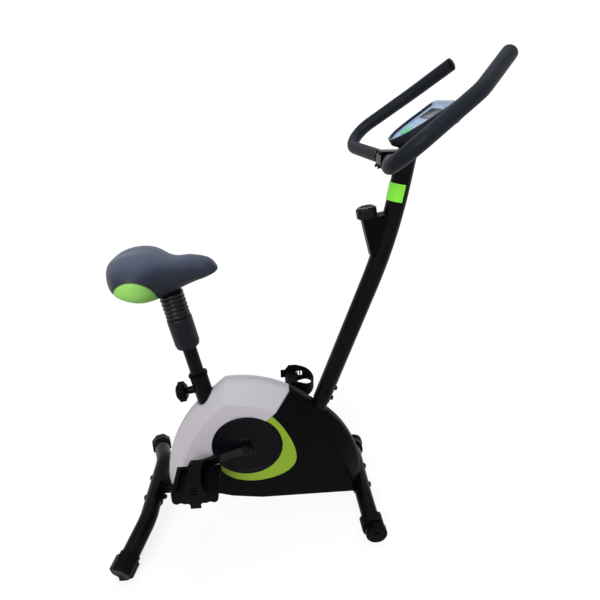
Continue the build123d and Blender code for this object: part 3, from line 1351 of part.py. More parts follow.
def main():
    """Build the pieces, centre them and write one file for each."""
    os.makedirs("parts", exist_ok=True)
    pieces = all_pieces()
    boxes = [piece.bounding_box() for piece in pieces.values()]
    shift = -(min(box.min.X for box in boxes) + max(box.max.X for box in boxes)) / 2
    for name, piece in pieces.items():
        export_step(Pos(shift, 0, 0) * piece, f"parts/{name}.step")
    places = {
        "crank": Vector(0, 0, AXLE_Z),
        "flywheel": Vector(FLYWHEEL_X, 0, FLYWHEEL_Z),
        "brake": Vector(brake_pivot()[0], 0, brake_pivot()[1]),
        "pedal_right": Vector(pedal_place(-1)[0], -PEDAL_OUT, pedal_place(-1)[1]),
        "pedal_left": Vector(pedal_place(1)[0], PEDAL_OUT, pedal_place(1)[1]),
        "pedal_inner": Vector(0, PEDAL_IN, 0),
        "wheel": wheel_place(),
        "knob": knob_base(),
        "seat_pin": on_seat(PIN_AT),
        "sleeve_top": on_seat(SLEEVE_TOP),
        "button": CONSOLE.from_local_coords(Vector(BUTTON_AT, 0, 0)),
        "rear_sole": tube_end(REAR_PATH)[0],
        "front_sole": tube_end(FRONT_PATH)[0],
        "bar": Vector(BAR_CENTRE[0], 0, BAR_CENTRE[1]),
    }
    for name, spot in places.items():
        print(name, round(spot.X + shift, 3), round(spot.Y, 3), round(spot.Z, 3))


main()
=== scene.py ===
"""Looks of the upright exercise bike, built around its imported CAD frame.

Metres, +X forward, +Y the rider's left, +Z up. Lengths noted in millimetres are turned into
metres by the helpers, with x counted from the crank axle.
"""
import json
import math

import bmesh
import bpy
import numpy as np
from mathutils import Matrix, Vector


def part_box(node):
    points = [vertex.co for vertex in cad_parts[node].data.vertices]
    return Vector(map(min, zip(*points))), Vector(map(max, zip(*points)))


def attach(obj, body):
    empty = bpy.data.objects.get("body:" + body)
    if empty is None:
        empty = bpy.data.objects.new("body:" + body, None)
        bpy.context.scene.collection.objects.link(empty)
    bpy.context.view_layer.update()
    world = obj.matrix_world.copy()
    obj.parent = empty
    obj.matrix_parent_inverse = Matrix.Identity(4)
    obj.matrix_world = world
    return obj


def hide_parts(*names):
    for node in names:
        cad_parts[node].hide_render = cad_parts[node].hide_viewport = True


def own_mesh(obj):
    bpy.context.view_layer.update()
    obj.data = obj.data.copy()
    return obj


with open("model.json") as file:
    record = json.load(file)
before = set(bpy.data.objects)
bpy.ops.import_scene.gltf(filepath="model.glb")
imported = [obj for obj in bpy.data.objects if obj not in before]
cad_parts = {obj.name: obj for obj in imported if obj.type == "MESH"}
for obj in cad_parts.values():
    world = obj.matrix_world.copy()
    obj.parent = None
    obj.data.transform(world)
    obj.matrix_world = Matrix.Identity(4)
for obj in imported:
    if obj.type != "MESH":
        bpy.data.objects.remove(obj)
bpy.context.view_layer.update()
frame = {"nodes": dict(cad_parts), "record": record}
NODES = frame["nodes"]

MM = 0.001
axle_low, axle_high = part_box("crank_axle")
AXLE_X = (axle_low.x + axle_high.x) / 2
SEAT_LEAN = math.radians(10.0)
SEAT_DIR = np.array((-math.sin(SEAT_LEAN), 0.0, math.cos(SEAT_LEAN)))
SEAT_FRONT = np.array((math.cos(SEAT_LEAN), 0.0, math.sin(SEAT_LEAN)))
SEAT_FOOT = np.array((-59.0, 0.0, 95.0))
SIDEWAYS = np.array((0.0, 1.0, 0.0))
AXLE_Z = 266.0
CONSOLE_SPOT = np.array((443.7, 0.0, 1134.9))      # middle of the rim's top
CONSOLE_TILT = math.radians(33.7)
CONSOLE_ALONG = np.array((math.cos(CONSOLE_TILT), 0.0, math.sin(CONSOLE_TILT)))
CONSOLE_UP = np.array((-math.sin(CONSOLE_TILT), 0.0, math.cos(CONSOLE_TILT)))


def srgb(red, green, blue):
    """Linear colour of a 0 to 255 screen colour: ((c + 0.055) / 1.055) ** 2.4 above the toe."""
    share = np.array((red, green, blue)) / 255.0
    linear = np.where(share <= 0.04045, share / 12.92, ((share + 0.055) / 1.055) ** 2.4)
    return (*(float(value) for value in linear), 1.0)


def place(points):
    """Millimetre points with x from the crank axle, as metres in the bike's frame."""
    return np.asarray(points, float) * MM + np.array((AXLE_X, 0.0, 0.0))


def on_seat(along):
    """Point on the seat tube's axis, a distance in millimetres from the beam."""
    return SEAT_FOOT + SEAT_DIR * along


# Surfaces on grids
def grid_faces(rows, columns, wrap_rows, wrap_columns):
    """Quads between neighbours of a rows by columns grid, wrapped round where asked."""
    last_row = rows if wrap_rows else rows - 1
    last_column = columns if wrap_columns else columns - 1
    i, j = np.meshgrid(np.arange(last_row), np.arange(last_column), indexing="ij")
    k, m = (i + 1) % rows, (j + 1) % columns
    quads = np.stack((i * columns + j, k * columns + j, k * columns + m, i * columns + m), -1)
    return quads.reshape(-1, 4)


def mesh_object(name, vertices, faces):
    """Smooth object of a vertex array and quads, its doubles merged and its faces turned outwards."""
    mesh = bpy.data.meshes.new(name)
    mesh.from_pydata(vertices.tolist(), [], faces.tolist())
    piece = bpy.data.objects.new(name, mesh)
    bpy.context.scene.collection.objects.link(piece)
    tidy_mesh(mesh)
    mesh.polygons.foreach_set("use_smooth", np.full(len(mesh.polygons), True))
    return piece


def tidy_mesh(mesh):
    """Merge doubles, drop faces that have no area and make the normals agree."""
    work = bmesh.new()
    work.from_mesh(mesh)
    bmesh.ops.remove_doubles(work, verts=work.verts, dist=1e-6)
    bmesh.ops.dissolve_degenerate(work, edges=work.edges, dist=1e-7)
    bmesh.ops.recalc_face_normals(work, faces=work.faces)
    work.to_mesh(mesh)
    work.free()


def grid_object(name, points, wrap_rows=False, wrap_columns=False):
    """Object of grids of points in metres, shape (rows, columns, 3) or (grids, rows, columns, 3)."""
    points = points.reshape(-1, *points.shape[-3:])
    grids, rows, columns = points.shape[:3]
    faces = grid_faces(rows, columns, wrap_rows, wrap_columns)
    faces = np.arange(grids)[:, None, None] * (rows * columns) + faces
    return mesh_object(name, points.reshape(-1, 3), faces.reshape(-1, 4))


def turned_surface(centre, axis, across, profile, count=96):
    """Surface of revolution: centre + axis h + r (across cos t + other sin t) for (r, h) in profile."""
    axis, across = np.asarray(axis, float), np.asarray(across, float)
    other = np.cross(axis, across)
    turn = np.linspace(0, 2 * np.pi, count, endpoint=False)
    spokes = np.cos(turn)[:, None] * across + np.sin(turn)[:, None] * other
    profile = np.asarray(profile, float)
    return centre + profile[:, 1, None, None] * axis + profile[:, 0, None, None] * spokes


def carried(path, normal, radius, count=24, closed=False):
    """Round tube on a path: p + radius (n cos t + b sin t), n made square to the path's tangent."""
    path = np.asarray(path, float)
    tangent = np.roll(path, -1, 0) - np.roll(path, 1, 0) if closed else np.gradient(path, axis=0)
    tangent /= np.linalg.norm(tangent, axis=1)[:, None]
    normal = np.broadcast_to(np.asarray(normal, float), path.shape)
    normal = normal - tangent * np.sum(normal * tangent, 1)[:, None]
    normal /= np.linalg.norm(normal, axis=1)[:, None]
    other = np.cross(tangent, normal)
    turn = np.linspace(0, 2 * np.pi, count, endpoint=False)
    spokes = np.cos(turn)[None, :, None] * normal[:, None] + np.sin(turn)[None, :, None] * other[:, None]
    return path[:, None] + np.reshape(radius, (-1, 1, 1)) * spokes


def through(stations, values, at):
    """Smooth curve through values: cubic Hermite pieces with slopes from the neighbours."""
    stations, values, at = (np.asarray(v, float) for v in (stations, values, at))
    slopes = np.gradient(values, stations)
    index = np.clip(np.searchsorted(stations, at) - 1, 0, len(stations) - 2)
    gap = stations[index + 1] - stations[index]
    t = (at - stations[index]) / gap
    return ((2 * t ** 3 - 3 * t ** 2 + 1) * values[index] + (t ** 3 - 2 * t ** 2 + t) * gap * slopes[index]
            + (3 * t ** 2 - 2 * t ** 3) * values[index + 1] + (t ** 3 - t ** 2) * gap * slopes[index + 1])


# Finishes
class Value:
    """A shader socket in Python arithmetic: each operator adds one Math node."""

    def __init__(self, nodes, socket):
        self.nodes = nodes
        self.socket = socket

    def math(self, operation, first, second=0.0):
        """Result of one Math node."""
        return self.nodes.add("ShaderNodeMath", {"operation": operation}, {0: first, 1: second})

    def __add__(self, other):
        return self.math("ADD", self, other)

    def __sub__(self, other):
        return self.math("SUBTRACT", self, other)

    def __rsub__(self, other):
        return self.math("SUBTRACT", other, self)

    def __mul__(self, other):
        return self.math("MULTIPLY", self, other)

    def __truediv__(self, other):
        return self.math("DIVIDE", self, other)

    def __pow__(self, other):
        return self.math("POWER", self, other)

    __radd__ = __add__
    __rmul__ = __mul__

    def above(self, edge, soft):
        """0 below the edge and 1 above it, with a soft step between."""
        return self.nodes.add("ShaderNodeMapRange", {"interpolation_type": "SMOOTHSTEP"},
                              {0: self, 1: edge - soft, 2: edge + soft, 3: 0.0, 4: 1.0})

    def between(self, low, high, soft):
        """1 between two edges and 0 outside them."""
        return self.above(low, soft) * (1.0 - self.above(high, soft))

    def size(self):
        """The value without its sign."""
        return self.math("ABSOLUTE", self)

    def share(self, pitch):
        """0 to 1 over each step of a pitch."""
        return self.math("FRACT", self / pitch)

    def sine(self):
        """Sine of the value in radians."""
        return self.math("SINE", self)


class Nodes:
    """A node tree, and the one method that adds a node to it."""

    def __init__(self, tree):
        self.tree = tree
        tree.nodes.clear()

    def add(self, kind, settings, sockets, output=0):
        """Add a node of a type: its settings first, then its sockets' values or links."""
        node = self.tree.nodes.new(kind)
        for name, value in settings.items():
            setattr(node, name, value)
        for name, value in sockets.items():
            self.connect(node.inputs[name], value)
        return Value(self, node.outputs[output]) if node.outputs else node

    def connect(self, socket, value):
        """Link a value to a socket, or set a number or colour on the socket itself."""
        if isinstance(value, Value):
            self.tree.links.new(value.socket, socket)
        else:
            socket.default_value = value

    def seen(self):
        """1 for rays that show the background: seen straight, mirrored or through glass."""
        straight, mirrored, clear = (self.add("ShaderNodeLightPath", {}, {}, name) for name in
                                     ("Is Camera Ray", "Is Glossy Ray", "Is Transmission Ray"))
        return straight.math("MAXIMUM", straight, mirrored.math("MAXIMUM", mirrored, clear))


class Finish(Nodes):
    """One material: a principled shader that its other nodes feed."""

    def __init__(self, name, colour, roughness, **fixed):
        self.material = bpy.data.materials.new(name)
        self.material.use_nodes = True
        super().__init__(self.material.node_tree)
        self.shader = self.add("ShaderNodeBsdfPrincipled", {}, {})
        self.surface = self.add("ShaderNodeOutputMaterial", {}, {"Surface": self.shader}).inputs["Surface"]
        self.spot = self.add("ShaderNodeTexCoord", {}, {}, "Object")
        self.feed(**{"Base Color": colour, "Roughness": roughness, **fixed})

    def feed(self, **sockets):
        """Set or link inputs of the shader."""
        for name, value in sockets.items():
            self.connect(self.shader.socket.node.inputs[name], value)

    def noise(self, scale, detail=3.0, rough=0.55, vector=None):
        """Cloudy noise from 0 to 1."""
        return self.add("ShaderNodeTexNoise", {}, {"Vector": vector or self.spot, "Scale": scale,
                                                   "Detail": detail, "Roughness": rough}, "Fac")

    def cells(self, scale):
        """Distance to the nearest of scattered points, for open cells and pebble grain."""
        return self.add("ShaderNodeTexVoronoi", {}, {"Vector": self.spot, "Scale": scale}, "Distance")

    def axis(self, name):
        """One coordinate of the surface point, in metres."""
        return self.add("ShaderNodeSeparateXYZ", {}, {0: self.spot}, name)

    def blend(self, factor, first, second):
        """Colour between two colours."""
        return self.add("ShaderNodeMix", {"data_type": "RGBA"}, {0: factor, 6: first, 7: second}, 2)

    def bump(self, height, strength, distance=0.001, rounding=0.0):
        """Surface relief, over edges softened by a small radius where asked."""
        sockets = {"Height": height, "Strength": strength, "Distance": distance}
        if rounding:
            sockets["Normal"] = self.add("ShaderNodeBevel", {"samples": 4}, {"Radius": rounding}, 0)
        self.feed(Normal=self.add("ShaderNodeBump", {}, sockets, 0))


def moulded(name, colour, roughness, grain=1300.0, relief=0.16, shift=0.12, rounding=0.0008, **fixed):
    """Moulded plastic: fine spark-eroded grain, faint flow clouds and uneven sheen."""
    made = Finish(name, colour, roughness, **fixed)
    clouds = made.noise(9.0, 4.0)
    light = tuple(min(1.0, c * (1 + shift)) for c in colour[:3]) + (1.0,)
    dark = tuple(c * (1 - shift) for c in colour[:3]) + (1.0,)
    made.feed(**{"Base Color": made.blend(clouds, dark, light),
                 "Roughness": roughness - 0.06 + 0.12 * made.noise(34.0, 3.0)})
    made.bump(made.noise(grain, 2.0) + 0.3 * made.noise(grain * 0.35, 2.0), relief, 0.0004, rounding)
    return made.material


def enamel(name, colour, roughness, **fixed):
    """Powder paint on steel: slight orange peel, and dust that dulls it in patches."""
    made = Finish(name, colour, roughness, **fixed)
    dust = made.noise(17.0, 5.0, 0.62)
    worn = tuple(c * 1.9 + 0.004 for c in colour[:3]) + (1.0,)
    made.feed(**{"Base Color": made.blend(dust.above(0.62, 0.16) * 0.5, colour, worn),
                 "Roughness": roughness - 0.05 + 0.16 * dust})
    made.bump(made.noise(420.0, 2.0), 0.10, 0.0005, 0.0007)
    return made.material


def rubbery(name, colour, roughness, cell=620.0, relief=0.35, **fixed):
    """Rubber or foam: open fine cells and a dry, slightly cloudy skin."""
    made = Finish(name, colour, roughness, **fixed)
    clouds = made.noise(22.0, 4.0)
    light = tuple(c * 1.22 for c in colour[:3]) + (1.0,)
    dark = tuple(c * 0.82 for c in colour[:3]) + (1.0,)
    made.feed(**{"Base Color": made.blend(clouds, dark, light),
                 "Roughness": roughness - 0.05 + 0.1 * clouds})
    made.bump(made.cells(cell) + 0.5 * made.noise(cell * 0.5, 3.0), relief, 0.0005, 0.0006)
    return made.material


def plated(name, colour, roughness, **fixed):
    """Plated or machined metal: fine scratches stretched one way, and dull patches."""
    made = Finish(name, colour, roughness, Metallic=1.0, **fixed)
    drawn = made.add("ShaderNodeMapping", {}, {"Vector": made.spot, "Scale": (1.0, 24.0, 24.0)})
    streak = made.noise(60.0, 4.0, 0.6, drawn)
    made.feed(Roughness=roughness - 0.08 + 0.22 * streak)
    made.bump(streak, 0.05, 0.0003, 0.0006)
    return made.material


def grooved_disc():
    """Crank disc: black plastic with turned rings, one raised near the rim and one round the hub."""
    made = Finish("disc_black", srgb(8, 8, 13), 0.34, **{"Specular IOR Level": 0.06})
    x, z = made.axis("X") - AXLE_X, made.axis("Z") - AXLE_Z * MM
    reach = (x * x + z * z) ** 0.5
    rings = reach.between(0.090, 0.093, 0.0006) + reach.between(0.036, 0.039, 0.0006)
    turning = (reach * 5200.0).sine()
    made.feed(Roughness=0.30 + 0.12 * made.noise(30.0) + 0.08 * rings)
    made.bump(rings + 0.05 * turning + 0.12 * made.noise(1200.0), 0.5, 0.0008, 0.0008)
    return made.material


def console_axes(made):
    """Millimetres over the console's face: away from the rider, and to the rider's left."""
    spot = place(CONSOLE_SPOT)
    x, z = made.axis("X") - float(spot[0]), made.axis("Z") - float(spot[2])
    along = x * float(CONSOLE_ALONG[0] / MM) + z * float(CONSOLE_ALONG[2] / MM)
    return along, made.axis("Y") * (1.0 / MM)


def printed_face():
    """Console face: silver-blue print with a frame round the display, a row of marks and a slot."""
    made = Finish("face_silver", srgb(190, 212, 240), 0.26, **{"Coat Weight": 0.1, "Coat Roughness": 0.12,
                                                               "Specular IOR Level": 0.2})
    along, left = console_axes(made)
    sheen = made.noise(14.0, 4.0)
    colour = made.blend(sheen, srgb(164, 200, 240), srgb(196, 222, 250))
    frame_print = along.between(11.0, 53.0, 0.5) * (1.0 - left.size().above(39.5, 0.5))
    marks = along.between(-9.5, -6.0, 0.4) * left.share(11.0).between(0.2, 0.7, 0.05)
    marks = marks * (1.0 - left.size().above(33.0, 0.5))
    slot = along.between(58.5, 61.5, 0.4) * left.between(-52.0, -10.0, 0.6)
    colour = made.blend(frame_print, colour, srgb(152, 174, 212))
    colour = made.blend(marks * 0.6, colour, srgb(92, 112, 158))
    colour = made.blend(slot, colour, srgb(44, 66, 92))
    made.feed(**{"Base Color": colour, "Roughness": 0.24 + 0.14 * made.noise(60.0)})
    made.bump(made.noise(900.0) - 2.0 * slot + 0.4 * frame_print, 0.12, 0.0005)
    return made.material


def display_glass():
    """Display: grey liquid crystal under a clear window, with rows of faint slanted figures."""
    made = Finish("display_grey", srgb(62, 72, 80), 0.10, **{"Coat Weight": 0.12, "Coat Roughness": 0.04,
                                                             "Specular IOR Level": 0.15})
    along, left = console_axes(made)
    rise = along.share(17.0)
    across = (60.0 - left + along * 0.16).share(10.0)
    bars = rise.between(0.16, 0.22, 0.02) + rise.between(0.47, 0.53, 0.02) + rise.between(0.78, 0.84, 0.02)
    bars = bars * across.between(0.24, 0.74, 0.03)
    posts = across.between(0.17, 0.26, 0.03) + across.between(0.72, 0.81, 0.03)
    posts = posts * rise.between(0.18, 0.82, 0.02)
    inside = along.between(17.5, 46.5, 0.4) * (1.0 - left.size().above(30.0, 0.4))
    figures = (bars + posts) * inside
    glass = made.blend(made.noise(40.0), srgb(56, 66, 74), srgb(70, 80, 86))
    glass = made.blend(inside, srgb(38, 44, 50), glass)
    made.feed(**{"Base Color": made.blend(figures * 0.45, glass, srgb(30, 36, 42)),
                 "Roughness": 0.08 + 0.06 * made.noise(220.0)})
    made.bump(made.noise(300.0), 0.02, 0.0003)
    return made.material


def mint_button():
    """Push button: mint rubber with a darker pressed mark across it."""
    made = Finish("button_mint", srgb(98, 218, 150), 0.42)
    along, left = console_axes(made)
    mark = along.between(-36.0, -30.5, 0.6) * left.share(7.0).between(0.15, 0.75, 0.06)
    mark = mark * (1.0 - left.size().above(13.0, 0.6))
    colour = made.blend(made.noise(30.0), srgb(88, 208, 138), srgb(116, 228, 164))
    made.feed(**{"Base Color": made.blend(mark * 0.7, colour, srgb(48, 148, 96)),
                 "Roughness": 0.36 + 0.14 * made.noise(120.0)})
    made.bump(made.noise(800.0) - mark, 0.2, 0.0005, 0.0006)
    return made.material


FINISHES = {
    "black_paint": enamel("black_enamel", srgb(7, 7, 10), 0.27, **{"Specular IOR Level": 0.06}),
    "black_plastic": moulded("black_abs", srgb(8, 8, 10), 0.42, **{"Specular IOR Level": 0.03}),
    "pale_plastic": moulded("pale_abs", srgb(203, 197, 203), 0.46, relief=0.08, shift=0.02, rounding=0.007,
                            **{"Specular IOR Level": 0.2}),
    "lime_plastic": moulded("lime_abs", srgb(146, 178, 50), 0.34, relief=0.06, shift=0.04,
                            **{"Specular IOR Level": 0.15}),
    # painted glow: the green band gives off a faint green light of its own, though it is no lamp
    "green_band": moulded("band_green_painted_glow", srgb(150, 252, 66), 0.30, relief=0.05, shift=0.03,
                          **{"Emission Color": srgb(110, 232, 50), "Emission Strength": 0.20}),
    "disc_plastic": grooved_disc(),
    "foam": rubbery("grip_foam", srgb(24, 27, 36), 0.48, **{"Specular IOR Level": 0.11}),
    "saddle_cover": rubbery("saddle_plain", srgb(70, 76, 90), 0.5),
    "boot_rubber": rubbery("boot_rubber", srgb(8, 8, 15), 0.26, 900.0, 0.12, **{"Specular IOR Level": 0.2}),
    "foot_rubber": rubbery("foot_rubber", srgb(9, 9, 12), 0.50, 800.0, 0.2, **{"Specular IOR Level": 0.05}),
    "steel": plated("zinc_steel", srgb(176, 176, 182), 0.36),
    "iron": plated("cast_iron_turned", srgb(92, 92, 97), 0.42),
    "aluminium": plated("cast_aluminium", srgb(190, 190, 196), 0.40),
    "belt_rubber": rubbery("belt_rubber", srgb(24, 24, 25), 0.6, 700.0, 0.25),
    "console_silver": printed_face(),
    "display": display_glass(),
    "mint_rubber": mint_button(),
    "cable_skin": moulded("cable_skin", srgb(22, 22, 23), 0.4),
}


KNOB_SPOT = (334.0, 924.0)         # middle of the tension knob, x and z
KNOB_LEAN = math.radians(11.3)


def dial_knob():
    """Tension knob: black plastic with a ring of pale ticks and a pointer printed on its top."""
    made = Finish("knob_dial", srgb(10, 10, 12), 0.40, **{"Specular IOR Level": 0.12})
    spot = place((KNOB_SPOT[0], 0.0, KNOB_SPOT[1]))
    x, z = made.axis("X") - float(spot[0]), made.axis("Z") - float(spot[2])
    front = x * math.cos(KNOB_LEAN) + z * math.sin(KNOB_LEAN)
    height = z * math.cos(KNOB_LEAN) - x * math.sin(KNOB_LEAN)
    left = made.axis("Y")
    reach = (front * front + left * left) ** 0.5
    angle = left.math("ARCTAN2", left, front)
    ticks = (angle + 4.0).share(math.pi / 6).between(0.36, 0.64, 0.04)
    ticks = ticks * reach.between(0.0145, 0.0195, 0.0003)
    pointer = left.size().between(-0.001, 0.0011, 0.0003) * front.between(-0.012, -0.003, 0.0004)
    print_mask = (ticks + pointer) * height.above(0.0105, 0.0008)
    clouds = made.noise(30.0)
    black = made.blend(clouds, srgb(8, 8, 10), srgb(15, 15, 18))
    made.feed(**{"Base Color": made.blend(print_mask * 0.8, black, srgb(206, 212, 220)),
                 "Roughness": 0.34 + 0.14 * clouds})
    made.bump(made.noise(1200.0), 0.15, 0.0004, 0.0008)
    return made.material


def strap_vinyl():
    """Toe strap: limp black vinyl with fine ribs across it and rubbed, cloudy patches."""
    made = Finish("strap_black", srgb(9, 9, 11), 0.62, **{"Specular IOR Level": 0.05})
    ribs = ((made.axis("Z") + made.axis("X") * 0.4) * 2600.0).sine()
    clouds = made.noise(45.0, 4.0)
    made.feed(**{"Base Color": made.blend(clouds, srgb(6, 6, 8), srgb(14, 14, 17)),
                 "Roughness": 0.55 + 0.15 * clouds})
    made.bump(0.5 * ribs + made.noise(900.0), 0.3, 0.0004, 0.0008)
    return made.material


def dress_frame():
    """Give every CAD node the finish of its slot in the record, or its own where it has one."""
    strap = strap_vinyl()
    gloss = enamel("crank_gloss", srgb(11, 11, 14), 0.22, **{"Specular IOR Level": 0.15})
    case = moulded("case_charcoal", srgb(27, 29, 34), 0.40, **{"Specular IOR Level": 0.2})
    own = {"tension_knob": dial_knob(), "pedal_strap_right": strap, "pedal_strap_left": strap,
           "crank_arm_right": gloss, "crank_arm_left": gloss, "console_body": case}
    for part in frame["record"]["subparts"]:
        node = NODES[part["node"]]
        node.data.materials.clear()
        node.data.materials.append(own.get(part["node"], FINISHES[part["material_slot"]]))


def set_piece(piece, body, slot, material, *nodes):
    """Finish a new piece: material, body it rides on and the nodes it stands for; the slot argument is not
    used.
    """
    piece.data.materials.clear()
    piece.data.materials.append(material)
    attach(piece, body)
    if nodes:
        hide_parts(*nodes)


# Saddle
SADDLE_U = (0.0, 0.12, 0.27, 0.42, 0.55, 0.68, 0.82, 0.93, 1.0)
SADDLE_HALF = (0.0, 50.0, 108.0, 114.0, 67.0, 40.0, 28.5, 14.5, 0.0)
SADDLE_TOP = (792.0, 821.0, 842.0, 843.0, 821.5, 826.0, 820.0, 801.0, 796.0)
SADDLE_WIDEST = (786.0, 781.0, 778.0, 778.0, 784.0, 791.0, 796.0, 796.5, 796.0)
SADDLE_LOW = (776.0, 764.0, 742.5, 729.0, 746.5, 765.5, 780.0, 789.0, 796.0)
SADDLE_MIDDLE = -180.2             # x halfway along the pad
SADDLE_REACH = 137.8
VALLEY_SPOT = -262.0               # x of the hollow between the two seat bones
VALLEY_DEPTH = 5.0
VALLEY_REACH = (46.0, 24.0)        # along and across
PANEL_SPOT = (-236.0, 752.0)       # middle of a green side panel, x and z
PANEL_REACH = (49.0, 50.0)
PANEL_SIDE = 48.0                  # a panel lies further out than this
SEAM_DEPTH = 1.5
SEAM_WIDTH = 3.2
PAD_VOXEL = 0.0045                 # metres
PAD_PRESSURE = 3.0
PAD_SWELL = 0.004                  # metres, the most a point may move
CLOTH_STEPS = 18


def saddle_surface(rows=61, columns=96):
    """Pear-shaped pad: x = mid - half cos(pi u); sections are superellipses with a flat underside."""
    u = np.linspace(0, 1, rows)
    x = SADDLE_MIDDLE - SADDLE_REACH * np.cos(np.pi * u)
    half, top, widest, low = (through(SADDLE_U, values, u)[:, None] for values in
                              (SADDLE_HALF, SADDLE_TOP, SADDLE_WIDEST, SADDLE_LOW))
    turn = np.linspace(0, 2 * np.pi, columns, endpoint=False)[None, :]
    c, s = np.cos(turn), np.sin(turn)
    y = half * np.sign(c) * np.abs(c) ** np.where(s > 0, 0.92, 0.75)
    rise = np.where(s > 0, (top - widest) * np.abs(s) ** 0.85, -(widest - low) * np.abs(s) ** 0.8)
    away = (x[:, None] - VALLEY_SPOT) / VALLEY_REACH[0]
    valley = VALLEY_DEPTH * np.exp(-(y / VALLEY_REACH[1]) ** 2 - away ** 2) * (s > 0)
    return place(np.stack((np.broadcast_to(x[:, None], y.shape), y, widest + rise - valley), -1))


def settled(piece, voxel, pressure, most):
    """Remesh a form, blow it up a little as cloth and keep each point within a set distance."""
    remesh = piece.modifiers.new("even_mesh", "REMESH")
    remesh.mode = "VOXEL"
    remesh.voxel_size = voxel
    piece.data = evaluated_mesh(piece)
    piece.modifiers.clear()
    start = vertex_array(piece.data)
    cloth = piece.modifiers.new("stuffing", "CLOTH")
    cloth.settings.use_pressure = True
    cloth.settings.uniform_pressure_force = pressure
    cloth.settings.effector_weights.gravity = 0.0
    cloth.settings.quality = 6
    for step in range(1, CLOTH_STEPS + 1):
        bpy.context.scene.frame_set(step)
    puffed = vertex_array(evaluated_mesh(piece))
    piece.modifiers.clear()
    bpy.context.scene.frame_set(1)
    move = puffed - start
    reach = np.linalg.norm(move, axis=1)[:, None]
    start = start + move * np.minimum(1.0, most / np.maximum(reach, 1e-9))
    put_vertices(piece.data, start)
    return piece


def evaluated_mesh(piece):
    """Mesh of a piece with its modifiers applied, as it is now."""
    bpy.context.view_layer.update()
    graph = bpy.context.evaluated_depsgraph_get()
    return bpy.data.meshes.new_from_object(piece.evaluated_get(graph))


def vertex_array(mesh):
    """Places of a mesh's vertices."""
    spots = np.zeros(len(mesh.vertices) * 3)
    mesh.vertices.foreach_get("co", spots)
    return spots.reshape(-1, 3)


def normal_array(mesh):
    """Normals at a mesh's vertices."""
    spots = np.zeros(len(mesh.vertices) * 3)
    mesh.vertex_normals.foreach_get("vector", spots)
    return spots.reshape(-1, 3)


def put_vertices(mesh, spots):
    """Move a mesh's vertices to new places."""
    mesh.vertices.foreach_set("co", spots.ravel())
    mesh.update()


def panel_reach(spots):
    """1 on a green panel's edge, less inside: an ellipse in side view."""
    x = (spots[:, 0] - AXLE_X) / MM
    z = spots[:, 2] / MM
    return np.hypot((x - PANEL_SPOT[0]) / PANEL_REACH[0], (z - PANEL_SPOT[1]) / PANEL_REACH[1])


def press_seams(mesh):
    """Draw in a narrow seam round each green panel."""
    spots, normals = vertex_array(mesh), normal_array(mesh)
    edge = (panel_reach(spots) - 1.0) * PANEL_REACH[0]
    outside = np.clip((np.abs(spots[:, 1]) / MM - PANEL_SIDE) / 12.0, 0, 1)
    depth = SEAM_DEPTH * np.exp(-(edge / SEAM_WIDTH) ** 2) * outside * MM
    spots -= normals * depth[:, None]
    put_vertices(mesh, spots)


def saddle_vinyl():
    """Slate vinyl with green side panels: soft pebble grain, painted shade on the lower sides, a painted
    highlight over the top, darker seam line.
    """
    made = Finish("saddle_vinyl", srgb(74, 80, 95), 0.46, **{"Specular IOR Level": 0.2})
    x, y, z = made.axis("X"), made.axis("Y"), made.axis("Z")
    across = (x - (AXLE_X + PANEL_SPOT[0] * MM)) / (PANEL_REACH[0] * MM)
    up = (z - PANEL_SPOT[1] * MM) / (PANEL_REACH[1] * MM)
    reach = (across * across + up * up) ** 0.5
    side = y.size().above(PANEL_SIDE * MM, 0.002)
    green = (1.0 - reach.above(1.0, 0.012)) * side
    line = (1.0 - (reach - 1.0).size().above(0.035, 0.03)) * side
    clouds = made.noise(16.0, 4.0)
    slate = made.blend(clouds, srgb(40, 44, 56), srgb(58, 64, 80))
    # painted shade: below about 0.79 m the slate darkens to a deep blue-grey over the saddle's lower sides
    slate = made.blend(z.above(0.786, 0.050), srgb(24, 26, 36), slate)
    # painted highlight: above about 0.82 m the slate lightens to a pale blue over the top
    slate = made.blend(0.7 * z.above(0.822, 0.022), slate, srgb(92, 102, 124))
    lime = made.blend(clouds, srgb(150, 218, 98), srgb(168, 232, 116))
    colour = made.blend(green, slate, lime)
    colour = made.blend(line * 0.75, colour, srgb(26, 28, 32))
    grain = made.cells(420.0) + 0.6 * made.noise(260.0, 3.0)
    made.feed(**{"Base Color": colour, "Roughness": 0.40 + 0.14 * clouds})
    made.bump(grain, 0.22, 0.0005)
    return made.material


def make_saddle():
    """Saddle pad: the pear-shaped surface puffed up as cloth, with seams pressed in."""
    form = grid_object("saddle_pad", saddle_surface(), False, True)
    piece = settled(form, PAD_VOXEL, PAD_PRESSURE, PAD_SWELL)
    press_seams(piece.data)
    piece.data.polygons.foreach_set("use_smooth", np.full(len(piece.data.polygons), True))
    smooth = piece.modifiers.new("soft_skin", "SUBSURF")
    smooth.levels = smooth.render_levels = 1
    set_piece(piece, "saddle", "saddle_cover", saddle_vinyl(), "saddle_cushion")


# Seat post
SLEEVE_FOOT = 485.0
SLEEVE_LENGTH = 90.0
SLEEVE_WALL = ((19.2, 0.0), (30.5, 0.0), (32.0, 3.5), (31.2, 5.5), (32.0, 8.0), (33.4, 9.5), (33.4, 84.0),
               (31.4, 90.0), (12.6, 90.0), (12.6, 42.2), (19.2, 42.2), (19.2, 0.0))
BOOT_LENGTH = 72.0
BOOT_FOLDS = 6
BOOT_R = 27.9                      # in the valley of a fold
BOOT_FOLD = 4.4
BOOT_WALL = 1.6
RING_COUNT = 6
RING_R = 15.5                      # in the groove between two rings
RING_RISE = 2.5
RING_BORE = 12.9
END_GAP = 0.5                      # above the sleeve and below the saddle


